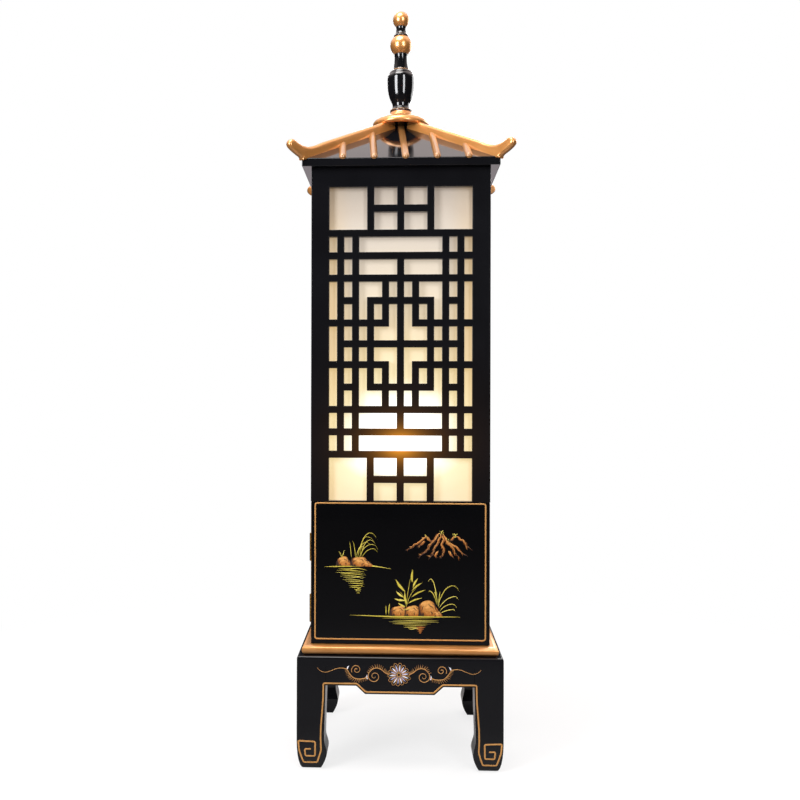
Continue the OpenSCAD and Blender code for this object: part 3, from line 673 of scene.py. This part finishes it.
def disc_underside():
    """A black ring between two circles, let into the gold under the disc and just proud of it."""
    angle = np.linspace(0, 2 * np.pi, AROUND, endpoint=False)
    inner, outer = 18 * MM, 0.9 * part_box("finial_disc")[1][0]
    section = np.array([[inner, -0.03], [outer, -0.03], [outer, 0.3], [inner, 0.3]]) * [1, MM]
    points = np.stack([section[:, :1] * np.cos(angle), section[:, :1] * np.sin(angle),
                       np.broadcast_to(DISC_Z + section[:, 1:], (4, AROUND))], -1)
    faces = grid_faces(4, AROUND, wrap_rows=True).tolist()
    shell("finial_disc_underside", points, faces, 30, LACQUER, "case", "lacquer")


def ring(name, radius, z):
    """A thin painted line round a turned piece: a small circle carried round the lamp's axis."""
    wire, sides = 0.4 * MM, 8
    u = np.linspace(0, 2 * np.pi, AROUND, endpoint=False)[:, None]
    v = np.linspace(0, 2 * np.pi, sides, endpoint=False)[None, :]
    r = radius + wire * np.cos(v)
    points = np.stack([r * np.cos(u), r * np.sin(u), z + wire * np.sin(v) + 0 * u], -1)
    faces = grid_faces(AROUND, sides, wrap_rows=True).tolist()
    shell(name, points, faces, 60, LINE_GOLD, "case", "gilding")


# Roof
def ridge_bars():
    """Four ridge bars with their horns: one smooth outline along the diagonal, its upper edges rounded over.

    The outline is (distance, height), set out across the roof and then stretched to the diagonal. A point
    of the solid is the outline moved inwards by r (1 - sin a) and sideways by half the width -
    r (1 - cos a), where a runs from 0 to 90 degrees and r is the rounding there.
    """
    half = (14.5 / 2) * MM
    slope = math.tan(math.radians(31))
    horn_out, horn_h = 24 * MM, 30.6 * MM
    start, rise = 16.5 * MM, 16.6 * MM

    def top(u):
        return slope * (ROOF_HALF - u) + rise

    # The horn in shares of its reach and height, from under the corner over its tip to the bar
    horn = np.array([[0.02, -0.14], [0.16, 0.03], [0.36, 0.13], [0.58, 0.245], [0.79, 0.376], [0.94, 0.51],
                     [1, 0.65], [0.985, 0.78], [0.9, 0.915], [0.76, 0.995], [0.58, 0.975], [0.375, 0.87],
                     [0.145, 0.785], [-0.085, 0.745], [-0.29, 0.742], [-0.54, 0.79], [-0.96, 0.96]])
    horn = np.column_stack([ROOF_HALF + horn[:, 0] * horn_out, horn[:, 1] * horn_h])
    bend = ROOF_HALF - 1.5 * horn_out
    upper = [[u, top(u)] for u in np.linspace(bend, start, 9)]
    upper[-1][1] = min(upper[-1][1], DISC_Z - ROOF_Z - 0.1 * MM)
    under = [[u, top(u) - rise - 6 * MM] for u in np.linspace(start, ROOF_HALF - 6 * MM, 6)]
    eased = smooth_curve(np.vstack([horn, upper]), 5)
    outline = np.vstack([eased, under])

    # The rounding at each point, evened out over five points
    upper_edge, lower_edge = 5.6 * MM, 0.6 * MM
    soft = np.full(len(outline), upper_edge)
    soft[len(eased) - 2:] = lower_edge
    soft = np.convolve(np.r_[soft[-2:], soft, soft[:2]], np.full(5, 0.2), "valid")

    # Inwards is square to the outline, on the side of its middle
    outline = np.column_stack([outline[:, 0] * math.sqrt(2), outline[:, 1] + ROOF_Z])
    ahead = np.roll(outline, -1, 0) - np.roll(outline, 1, 0)
    ahead /= np.linalg.norm(ahead, axis=1, keepdims=True)
    inward = np.column_stack([-ahead[:, 1], ahead[:, 0]])
    centre = outline.mean(0)
    if (inward * (centre - outline)).sum() < 0:
        inward = -inward

    angle = np.linspace(0, np.pi / 2, 6)
    rows = [(-1, a) for a in angle] + [(1, a) for a in angle[::-1]]
    body = []
    for sign, a in rows:
        move = soft * (1 - math.sin(a))
        side = sign * (half - soft * (1 - math.cos(a)))
        body.append(np.column_stack([outline + inward * move[:, None], side]))
    body = np.array(body)
    faces = tube_faces(len(rows), len(outline))
    for place, quarter in (("rear_right", 0), ("rear_left", 1), ("front_left", 2), ("front_right", 3)):
        turn = math.radians(45 + 90 * quarter)
        x = body[..., 0] * math.cos(turn) - body[..., 2] * math.sin(turn)
        y = body[..., 0] * math.sin(turn) + body[..., 2] * math.cos(turn)
        node = "ridge_" + place
        points = np.stack([x, y, body[..., 1]], -1)
        shell(node + "_carved", points, faces, 50, GOLD, "case", "gilding", node)


# Paper shades
def shades():
    """Each sheet is a fine grid with a slight ripple, 0.9 mm thick within the CAD sheet's 1 mm.

    The ripple is a product of two waves. It is held at the edges by 1 less the eighth power of the share
    of the way to them.
    """
    columns, rows, half_thick, ripple = 56, 121, 0.45 * MM, 0.12 * MM
    for side, quarter in SIDES.items():
        node = "shade_" + side
        low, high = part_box(node)
        outer = max(high[0], high[1]) if side in ("right", "rear") else -min(low[0], low[1])
        wide = (high[0] - low[0]) / 2 if side in ("front", "rear") else (high[1] - low[1]) / 2
        tall, middle = (high[2] - low[2]) / 2, (low[2] + high[2]) / 2
        across, upwards = np.linspace(-wide, wide, columns), np.linspace(low[2], high[2], rows)
        s, z = np.meshgrid(across, upwards, indexing="ij")
        loose = (1 - (s / wide) ** 8) * (1 - ((z - middle) / tall) ** 8)
        out = outer - 0.5 * MM - loose * ripple * (1 + np.sin(31 * z + 17 * s) * np.cos(23 * s - 9 * z))
        turn = math.pi / 2 * quarter
        points = np.vstack([set_round(s, out + shift, z, turn) for shift in (half_thick, -half_thick)])
        count = s.size
        number = np.arange(count).reshape(s.shape)
        rim = np.concatenate([number[0], number[1:, -1], number[-1, -2::-1], number[-2:0:-1, 0]])
        skirt = np.stack([rim, np.roll(rim, -1), np.roll(rim, -1) + count, rim + count], -1)
        faces = grid_faces(columns, rows, wrap_columns=False)
        faces = np.vstack([faces, faces[:, ::-1] + count, skirt]).tolist()
        paper = FINISH_OF["shade_paper"]
        shell(node + "_sheet", points, faces, 40, paper, "case", "shade_paper", node)


# Painted gold lines
def stand_lines():
    """The gold line along each apron and down the legs, which ends in a square key scroll on each foot.

    Half of it runs from the middle of the apron along its stepped lower edge, down the leg and round the
    scroll. The places on the leg are mm from its inner edge, those of the scroll mm in from the corner, and
    all heights metres. On the foot the ground draws in as a quarter ellipse, toe_h high and toe_in deep.
    """
    toe_h, toe_in = 54 * MM, 12 * MM

    def ground(z):
        under = np.clip((toe_h - z) / toe_h, 0, 1)
        return STAND_HALF - toe_in * (1 - np.sqrt(1 - under**2))

    step, slant, step_h, off = 64 * MM, 16.5 * MM, 35.3 * MM, 4.0 * MM
    end_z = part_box("stand_top")[0][2] - step_h + off
    along = [(0, APRON_LOW + off), (step - 1.5 * MM, APRON_LOW + off), (step + slant - 1.5 * MM, end_z)]
    leg = [(4.0, end_z), (4.6, 0.13), (8.6, 0.078), (9.0, 0.058), (8.2, 0.036), (15.5, 0.0125)]
    scroll = [(12.5, 0.0125), (4.6, 0.036), (2.9, 0.0535), (34.5, 0.0522), (34.0, 0.0252), (16.2, 0.0252),
              (15.0, 0.0385), (26.5, 0.0385)]
    half = along + [(LEG_INNER + s * MM, z) for s, z in leg] + [(STAND_HALF - s * MM, z) for s, z in scroll]
    whole = [(-s, z) for s, z in half[:0:-1]] + half[1:]
    path = filled_in(rounded_path(whole, 3.0 * MM), 2.5 * MM)
    for side in SIDES:
        line = Brushwork(side, ground)
        line.stroke(path, 1.5 * MM, 0.25 * MM)
        line.finish("stand_line_" + side, LINE_GOLD, "case")


def panel_border(name, side, body):
    """The gold line round the door or a lower panel, with eased corners."""
    s, low, high = CASE_HALF - 8.5 * MM, DOOR_LOW + 8.6 * MM, DOOR_HIGH - 2.2 * MM
    path = rounded_path([(-s, low), (s, low), (s, high), (-s, high)], 4.5 * MM, closed=True)
    border = on_flat(side, CASE_HALF)
    border.stroke(path, 1.4 * MM, 0.25 * MM, closed=True)
    border.finish(name, LINE_GOLD, body)


# Apron ornament
def spiral(s0, z0, radius, start, turns):
    """A spiral round (s0, z0): the angle turns evenly while the radius shrinks to tight times its start."""
    tight = 0.14
    t = np.linspace(0, 1, 60)
    r = radius * (1 - (1 - tight) * t**0.9)
    angle = math.radians(start) + 2 * math.pi * turns * t
    return np.column_stack([s0 + r * np.cos(angle), z0 + r * np.sin(angle)])


def comb(layer, path, side, long, count):
    """Short strokes that stand off a stem like the teeth of a comb, longest in the middle.

    Each tooth stands square to the stem with a share lean of the stem's own direction added.
    """
    lean = 0.3
    at = np.linspace(0, len(path) - 1, count).astype(int)
    slope = np.gradient(path, axis=0)
    slope /= np.linalg.norm(slope, axis=1, keepdims=True)
    for k, i in enumerate(at):
        out = side * np.array([-slope[i, 1], slope[i, 0]]) + lean * slope[i]
        length = long * (0.55 + 0.45 * math.sin(math.pi * (k + 0.5) / count))
        tip = path[i] + out * length
        tooth = np.array([path[i], (path[i] + tip) / 2, tip])
        layer.stroke(tooth, np.array([0.5, 0.36, 0.12]) * MM, 0.15 * MM)


def rosette(gold, white, centre):
    """Outlined petals round a point, each with a white mark along its middle.

    An outline is (0.56 - 0.44 cos t) of the petal's reach along it and wide sin t (1.2 - 0.75 cos t)
    beside it, with t once round.
    """
    petals, wide = 14, 2.5 * MM
    t = np.linspace(0, 2 * np.pi, 26, endpoint=False)
    for k in range(petals):
        angle = 2 * math.pi * (k + 0.25) / petals
        along = np.array([math.cos(angle), math.sin(angle)])
        beside = np.array([-along[1], along[0]])
        reach = (21.0 + 1.3 * math.sin(5 * k)) * MM
        petal = (0.56 - 0.44 * np.cos(t))[:, None] * reach * along
        petal = petal + (np.sin(t) * (1.2 - 0.75 * np.cos(t)) * wide)[:, None] * beside
        gold.stroke(petal + centre, 0.36 * MM, 0.22 * MM, closed=True)
        ends = [0.24 * reach * along, 0.55 * reach * along, 0.84 * reach * along]
        white.dab(np.array(ends) + centre, 1.15 * MM, tone=0.6 + 0.3 * math.sin(3 * k), peak=0.6)


def apron_ornament():
    """A rosette between two tendril scrolls with combed backs and small white leaves, on each apron."""
    centre = [-1.6 * MM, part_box("stand_top")[0][2] - 13.8 * MM]
    lead = smooth_curve([(-19, 0.5), (-26, 4), (-33, 9.5), (-41, 12), (-49, 9.5), (-55.5, 3)], 9)
    curl = np.vstack([lead, spiral(-45.2, -3.4, 12.2, 149, 1.55)[3:]])
    stem = smooth_curve([(-57, -4), (-63, -7), (-72, -8.6), (-81, -7.6), (-88, -2.6), (-93, 4),
                         (-97, 10.5)], 9)
    tail = smooth_curve([(-96, 9.5), (-104, 11), (-113, 10.5), (-124, 6.5), (-134, 3.2), (-142, 4),
                         (-148, 7.5), (-151, 11)], 8)
    leaves = [(-57.6, -9), (-59.4, -5.2), (-58.6, -0.5)], [(-95.6, 8.6), (-94.6, 12.6), (-92, 15.6)]
    for side in SIDES:
        gold, white = on_flat(side, STAND_HALF), on_flat(side, STAND_HALF)
        rosette(gold, white, centre)
        for flip in (-1, 1):
            def place(points):
                return np.asarray(points, float) * [flip * MM, MM] + centre

            gold.stroke(place(curl), 0.78 * MM * np.linspace(1, 0.55, len(curl)), 0.25 * MM)
            gold.stroke(place(stem), 0.75 * MM, 0.25 * MM)
            gold.stroke(place(spiral(-78.3, 8.2, 9.8, 208, -1.45)), 0.6 * MM, 0.22 * MM)
            gold.stroke(place(tail), np.linspace(0.62, 0.3, len(tail)) * MM, 0.2 * MM)
            comb(gold, place(lead), -flip, 7.6 * MM, 15)
            comb(gold, place(stem), flip, 7.4 * MM, 20)
            for points in leaves:
                white.dab(place(points), 1.35 * MM, tone=0.8)
        gold.finish("apron_scroll_" + side, LINE_GOLD, "case")
        white.finish("apron_petals_" + side, PETAL_PAINT, "case")


# Lakeside pictures on the door and the lower panels
def blade(layer, root, height, lean, curl, wide, tone):
    """A grass blade: it rises from its root and leans over; curl carries its tip on and down again."""
    points = [(0, 0), (0.22 * lean, 0.4 * height), (0.6 * lean, 0.8 * height), (lean + 0.15 * curl, height),
              (lean + 0.65 * curl, height - 0.12 * abs(curl)), (lean + curl, height - 0.6 * abs(curl))]
    if not curl:
        points = points[:4]
    layer.dab(root + np.array(points), wide, tone=tone, peak=0.35)


def leaf(layer, root, angle, length, wide, tone):
    """A bamboo leaf: a lens-shaped mark from its root, slightly bowed."""
    a = math.radians(angle)
    ahead, beside = np.array([math.cos(a), math.sin(a)]), np.array([-math.sin(a), math.cos(a)])
    points = [root, root + ahead * 0.5 * length + beside * 0.05 * length, root + ahead * length]
    layer.dab(points, wide, tone=tone, peak=0.45, thick=0.25 * MM)


def water(layer, draw, s0, z0, left, right, rows, gap, tilt=0.0, drift=0.0):
    """Water under an islet: level strokes that draw in and drift aside towards a point as they go down."""
    for k in range(rows):
        share = (1 - k / rows) ** 0.85
        a = s0 + drift * (1 - share) - left * share * draw.uniform(0.62, 1.1)
        b = s0 + drift * (1 - share) + right * share * draw.uniform(0.62, 1.1)
        z = z0 - gap * k - draw.uniform(0, 0.25) * gap
        bow = draw.uniform(-0.25, 0.25) * gap
        path = [(a, z + 0.3 * bow), ((2 * a + b) / 3, z - bow), ((a + 2 * b) / 3, z + bow),
                (b, z - tilt * (b - a))]
        layer.dab(path, draw.uniform(0.45, 0.95) * MM, tone=draw.uniform(0.4, 0.85),
                  peak=draw.uniform(0.3, 0.7))


def far_hills(layer, high, draw, place):
    """Distant hills: crooked ridge lines run down from three peaks, with growth on the tops.

    Along each ridge there are a dark mark, a line that fades, a fainter one beside it, spurs and a light.
    """
    ridges = (((0, 52), (-7, 45), (-11, 37), (-19, 30), (-24, 20), (-34, 12), (-43, 3)),
              ((1, 50), (-3, 40), (-7, 31), (-13, 21), (-16, 11), (-24, 2)),
              ((2, 49), (4, 38), (1, 28), (5, 19), (2, 9), (-3, 3)),
              ((3, 50), (9, 41), (13, 31), (22, 23), (27, 12), (37, 3)),
              ((11, 36), (20, 29), (29, 24), (38, 14), (50, 8)),
              ((-26, 45), (-33, 40), (-40, 33), (-50, 28), (-56, 22), (-66, 18)),
              ((-25, 44), (-21, 37), (-15, 34)),
              ((-31, 36), (-36, 30), (-45, 24)),
              ((27, 46), (34, 40), (42, 35), (47, 27), (58, 20)),
              ((26, 45), (21, 39), (15, 37)),
              ((15, 18), (19, 10), (24, 4)),
              ((-5, 17), (-10, 9), (-9, 3)))
    for ridge in ridges:
        line = smooth_curve([place(s, z) for s, z in ridge], 4)
        line = line + draw.uniform(-0.75, 0.75, line.shape) * MM
        layer.dab(line + [0.9 * MM, -1.1 * MM], draw.uniform(1.4, 2.1) * MM, tone=draw.uniform(0.02, 0.16),
                  peak=0.3, thick=0.14 * MM)
        fade = np.linspace(draw.uniform(0.55, 0.8), draw.uniform(0.1, 0.3), 6 * len(line) - 5)
        layer.dab(line, draw.uniform(1.1, 1.6) * MM, tone=fade, peak=0.25)
        beside = line[1:-2] + draw.uniform(-0.6, 0.6, line[1:-2].shape) * MM
        beside = beside + [draw.choice([-2.0, 2.2]) * MM, 0]
        layer.dab(beside, draw.uniform(0.6, 1.1) * MM, tone=draw.uniform(0.3, 0.6), peak=0.2)
        for k in range(3, len(line) - 2, 3):
            run = line[k + 1] - line[k]
            side = draw.choice([-1, 1])
            spur = run * draw.uniform(0.9, 1.5) + side * np.array([-run[1], run[0]]) * draw.uniform(0.6, 1.1)
            spur = [line[k], line[k] + 0.5 * spur, line[k] + spur * [1.0, 1.25]]
            layer.dab(spur, draw.uniform(0.5, 0.8) * MM, tone=draw.uniform(0.3, 0.75), peak=0.2,
                      lift=0.05 * MM)
        light = line[1:-3] + [0.5 * MM, 0.6 * MM]
        layer.dab(light, 0.4 * MM, tone=0.95, peak=0.3, thick=0.12 * MM, lift=0.12 * MM)
    for s0, z0, count in ((1, 51, 12), (-27, 44, 5), (26, 45, 11), (13, 38, 4)):
        for k in range(count):
            root = place(s0 + draw.uniform(-4, 4), z0 + draw.uniform(-4, 3))
            tip = np.array([draw.uniform(-1.6, 1.6), draw.uniform(0.2, 3.2)]) * MM
            growth = [root, root + tip / 2 + [0.3 * MM, 0], root + tip]
            high.dab(growth, 0.7 * MM, tone=draw.uniform(0.6, 1.0))


def landscape(side, body, seed, mirror):
    """A lakeside picture in the usual manner of such lamps: two rocky islets with reeds, and far hills.

    Places and sizes are millimetres, from the lower edge of the door or from the islet. A mirror of -1
    turns the picture left for right.
    """
    draw = np.random.default_rng(seed)
    rocks, reeds = on_flat(side, CASE_HALF), on_flat(side, CASE_HALF)

    def spot(s, z):
        return np.array([mirror * s * MM, DOOR_LOW + z * MM])

    def boulders(base, *stones):
        for s, z, half, tall, lean in stones:
            rocks.stone(base[0] + mirror * s * MM, base[1] + z * MM, half * MM, tall * MM, mirror * lean)

    def grass(base, s, z, height, lean, curl, wide, tone):
        blade(reeds, base + [mirror * s * MM, z * MM], height * MM, mirror * lean * MM, mirror * curl * MM,
              wide * MM, tone)

    def shore(base, points, wide, tone, peak=0.4):
        reeds.dab(base + np.array(points) * [mirror * MM, MM], wide * MM, tone=tone, peak=peak)

    # left islet: three boulders, bending blades and its reflection
    base = spot(-84, 145)
    boulders(base, (-22, 0, 14.5, 18.5, -0.05), (22, -1, 11, 12, -0.2), (7, -1, 18, 20, 0.08))
    for s, height, lean, curl in ((-25, 13, -6, 0), (-24, 15, 5, 0), (-7, 31, -4, 0), (1, 33, -6, 0),
                                  (4, 30, 13, 12), (5, 47, 18, 18), (7, 26, 20, 16), (9, 40, 8, 20),
                                  (12, 18, 18, 12), (2, 22, 8, 8), (10, 34, 14, 14)):
        grass(base, s, 15, height, lean, curl, 0.6, draw.uniform(0.45, 0.85))
    shore(base, [(-58, -1.5), (-24, -0.6), (18, 0.2)], 1.1, 0.5)
    shore(base, [(8, 0.8), (34, 0.6), (68, -4.5)], 1.1, 0.6)
    water(reeds, draw, base[0] - mirror * 3 * MM, base[1] - 4 * MM, 38 * MM, 32 * MM, 14, 3.5 * MM,
          mirror * 0.05, mirror * 10 * MM)

    # right islet: four boulders between bamboo and grass
    base = spot(18, 52)
    boulders(base, (52, 0, 9, 11, -0.1), (-22, 0, 17, 21, 0.12), (3, 0, 17, 22, 0.15), (34, 0, 22, 31, -0.04))
    for lean, height in ((11, 60), (18, 34), (-14, 30)):
        grass(base, -6, 18, height, lean, 0, 0.5, 0.5)
    root = base + [mirror * -6 * MM, 18 * MM]
    for s, z, angle, length, wide in ((11, 46, 88, 24, 2.3), (12, 36, 62, 20, 1.9), (10, 30, 38, 25, 1.8),
                                      (9, 18, 28, 30, 1.6), (2, 6, 22, 30, 1.5), (-2, 28, 128, 30, 2.5),
                                      (-6, 18, 140, 17, 2.0), (-2, 12, 172, 21, 1.9), (1, 4, 100, 24, 2.0),
                                      (-2, 0, 152, 15, 1.6), (-6, -6, 8, 18, 1.5)):
        turn = angle if mirror > 0 else 180 - angle
        leaf(reeds, root + [mirror * s * MM, z * MM], turn, length * MM, wide * MM, draw.uniform(0.45, 0.85))
    for s, height, lean in ((-44, 17, 0), (-39, 21, 2)):
        grass(base, s, 3, height, lean, 0, 1.0, 0.55)
    for s, z, height, lean, curl in ((52, 20, 50, -10, -8), (53, 20, 38, 22, 18), (55, 16, 22, 26, 10),
                                     (51, 22, 26, -12, -4), (56, 10, 14, 20, 12), (54, 18, 30, 3, 0),
                                     (52, 26, 20, -6, 6), (57, 6, 8, 22, 6)):
        grass(base, s, z, height, lean, curl, 0.75, draw.uniform(0.45, 0.85))
    shore(base, [(-112, 1.5), (-30, -0.4), (94, 0.2)], 1.5, 0.55, peak=0.7)
    water(reeds, draw, base[0] + mirror * 8 * MM, base[1] - 3.5 * MM, 62 * MM, 58 * MM, 7, 3.2 * MM)
    for k in range(4):
        wide = (9 - 2.2 * k) * MM
        at = base + [mirror * 20 * MM, -(20 + 3.4 * k) * MM]
        rocks.dab([at - [wide, 0], at, at + [wide, 0.4 * MM]], 1.6 * MM, tone=0.45)

    far_hills(rocks, reeds, draw, lambda s, z: spot(76 + s, 158 + z))
    rocks.finish(body + "_" + side + "_rocks", ROCK_PAINT, body)
    reeds.finish(body + "_" + side + "_reeds", REED_PAINT, body)


def pictures():
    """The border and the picture on the door, and others in the same manner on the lower panels."""
    panel_border("door_border", "front", "door")
    landscape("front", "door", 5, 1)
    for side, seed, mirror in (("right", 11, -1), ("rear", 17, 1), ("left", 23, -1)):
        panel_border("panel_border_" + side, side, "case")
        landscape(side, "case", seed, mirror)


# Solids that keep their shape
def finished_nodes():
    """CAD solids with their edges rounded as their making leaves them, by widths in mm, and their finish."""
    rounded = {"leg_": 3.6, "apron_": 0.8, "stand_top": 0.8, "door": 1.0, "roof_base": 1.4, "roof_panel": 0.4,
               "left_panel": 0.7, "right_panel": 0.7, "rear_panel": 0.7, "front_lattice": 0.7,
               "mid_rail": 0.8, "corner_posts": 0.8, "lamp_bar": 0.8, "bar_cleats": 0.8, "catch_": 0.5,
               "apex_block": 0.8, "hinge_upper": 0.2, "hinge_lower": 0.2, "hinge_pins": 0.3,
               "switch_key": 0.4, "lamp_holder": 0.4}
    own = {"leg_": STAND_LACQUER, "apron_": STAND_LACQUER, "stand_top": STAND_LACQUER, "door": SHADED_DOOR_LACQUER,
           "left_panel": FRETWORK, "right_panel": FRETWORK, "rear_panel": FRETWORK,
           "front_lattice": FRETWORK, "ribs_": SHADED_RIB_GOLD, "base_moulding": MOULDING_GOLD}
    made = ("finial_disc", "finial_urn", "finial_neck", "finial_ball_", "ridge_", "shade_")

    def listed(table, node, otherwise):
        return next((entry for start, entry in table.items() if node.startswith(start)), otherwise)

    for node in frame["nodes"]:
        if not node.startswith(made):
            soft_copy(node, listed(rounded, node, 0) * MM, listed(own, node, FINISH_OF[SLOT_OF[node]]))


# Studio
def room():
    """White sky for the camera; for reflections a room, dark at eye level, white overhead and low behind."""
    world = bpy.data.worlds.new("studio")
    scene.world = world
    world.use_nodes = True
    sky = NodeBook(world.node_tree)
    plain = world.node_tree.nodes["Background"]
    axes = sky.tree.nodes.new("ShaderNodeSeparateXYZ")
    sky.link(sky.node("TexCoord", out="Generated"), axes.inputs[0])
    across, ahead, up = (Value(sky, axes.outputs[name]) for name in "XYZ")
    through = sky.node("LightPath", out="Is Glossy Ray") + sky.node("LightPath", out="Is Transmission Ray")
    behind = sky.between(ahead, 0.975, 0.995)
    seen = sky.maths("MAXIMUM", sky.node("LightPath", out="Is Camera Ray"), through * behind)
    ceiling = sky.between(up, 0.3, 0.72) * sky.between(ahead, -0.62, 0.0)
    sweep = sky.between(ahead, 0.6, 0.85) * (1 - sky.between(up, -0.19, -0.12))
    overhead = sky.mix(sky.between(across, -0.2, 0.2), (1.15, 1.04, 1.02), (1.15, 1.0, 0.96))
    inside = sky.mix(ceiling, (0.02, 0.02, 0.022), overhead)
    inside = sky.mix(sweep, inside, (0.7, 0.62, 0.65))
    sky.link(sky.mix(seen, inside, (1.0, 1.0, 1.0)), plain.inputs["Color"])


def floor_paper():
    """A round sheet just under the feet. To the camera it glows nearly white and keeps the lamp's shadow.

    Its rings lie closer together near the lamp. For reflections it is grey, and dark far off.
    """
    radius, rings, below = 4.0, 24, 0.4 * MM
    r = (np.linspace(0.02, 1, rings) ** 1.6)[:, None] * radius
    a = np.linspace(0, 2 * np.pi, AROUND, endpoint=False)[None, :]
    points = np.stack([r * np.cos(a), r * np.sin(a), np.full((rings, AROUND), -below)], -1)
    faces = grid_faces(rings, AROUND).tolist() + [list(range(AROUND))[::-1]]
    mesh = bpy.data.meshes.new("floor")
    mesh.from_pydata(points.reshape(-1, 3).tolist(), [], faces)
    floor = bpy.data.objects.new("floor", mesh)
    scene.collection.objects.link(floor)
    paper = Finish("floor paper", roughness=0.9)
    away = paper.maths("SQRT", paper.axis("X") ** 2.0 + paper.axis("Y") ** 2.0)
    far = paper.between(away, 0.5, 1.5)
    near = 1 - paper.between(away, 0.1, 0.5)
    pale = paper.mix(paper.noise(60, 3), (0.8, 0.79, 0.78), (0.84, 0.83, 0.82))
    camera_ray = paper.node("LightPath", out="Is Camera Ray")
    reflected = paper.mix(near, (0.16, 0.16, 0.165), (0.6, 0.6, 0.6))
    reflected = paper.mix(far, reflected, (0.03, 0.03, 0.032))
    paper.set("Base Color", paper.mix(camera_ray, reflected, pale))
    glow = paper.node("Emission", None, {"Color": (1.0, 1.0, 1.0), "Strength": 1.0})
    share = camera_ray * paper.maths("MAXIMUM", far, 0.78)
    blend = paper.node("MixShader", None, {0: share, 1: Value(paper, paper.shader.outputs[0]), 2: glow})
    paper.tree.links.new(blend.socket, paper.tree.nodes["Material Output"].inputs["Surface"])
    mesh.materials.append(paper.material)


def lights():
    """Five soft boxes, each turned to face a point on the lamp's axis at its own height."""
    for name, spot, aim_z, size, watts, shade in (
            ("overhead box", (-0.5, -0.8, 3.3), 0.7, (1.5, 1.5), 66, (1.0, 0.98, 0.96)),
            ("right fill", (2.3, 1.7, 1.9), 0.8, (1.6, 1.6), 26, (1.0, 1.0, 1.0)),
            ("rear fill", (0.4, 2.6, 2.2), 0.8, (1.4, 1.2), 34, (1.0, 1.0, 1.0)),
            ("left strip", (-1.5, -1.65, 1.55), 1.38, (0.8, 1.5), 50, (0.96, 0.97, 1.0)),
            ("right strip", (0.9, -1.95, 1.55), 1.38, (0.5, 1.5), 26, (0.96, 0.97, 1.0))):
        lamp = bpy.data.lights.new(name, "AREA")
        lamp.shape = "RECTANGLE"
        lamp.size, lamp.size_y = size
        lamp.energy = watts
        lamp.color = shade
        holder = bpy.data.objects.new(name, lamp)
        scene.collection.objects.link(holder)
        holder.location = spot
        towards = np.array([0, 0, aim_z]) - np.array(spot)
        yaw = math.atan2(-towards[0], towards[1])
        tilt = math.atan2(math.hypot(towards[0], towards[1]), -towards[2])
        holder.rotation_euler = (tilt, 0, yaw)
    scene.view_settings.view_transform = "Standard"


def camera():
    """The photograph's view: nearly level, a little under the lamp's middle, with the lens shifted aside."""
    lens_px, middle_px, width_px = 991.6, 354.31, 800
    data = bpy.data.cameras.new("camera")
    data.sensor_width = 36
    data.lens = lens_px / width_px * data.sensor_width
    data.shift_x = (width_px / 2 - middle_px) / width_px
    view = bpy.data.objects.new("camera", data)
    scene.collection.objects.link(view)
    view.location = (0.0014, -2.0217, 0.6851)
    view.rotation_euler = (math.radians(90), math.radians(-0.12), math.radians(2.702))
    scene.camera = view


camera()
room()
floor_paper()
lights()
finished_nodes()
finial()
ridge_bars()
shades()
stand_lines()
apron_ornament()
pictures()
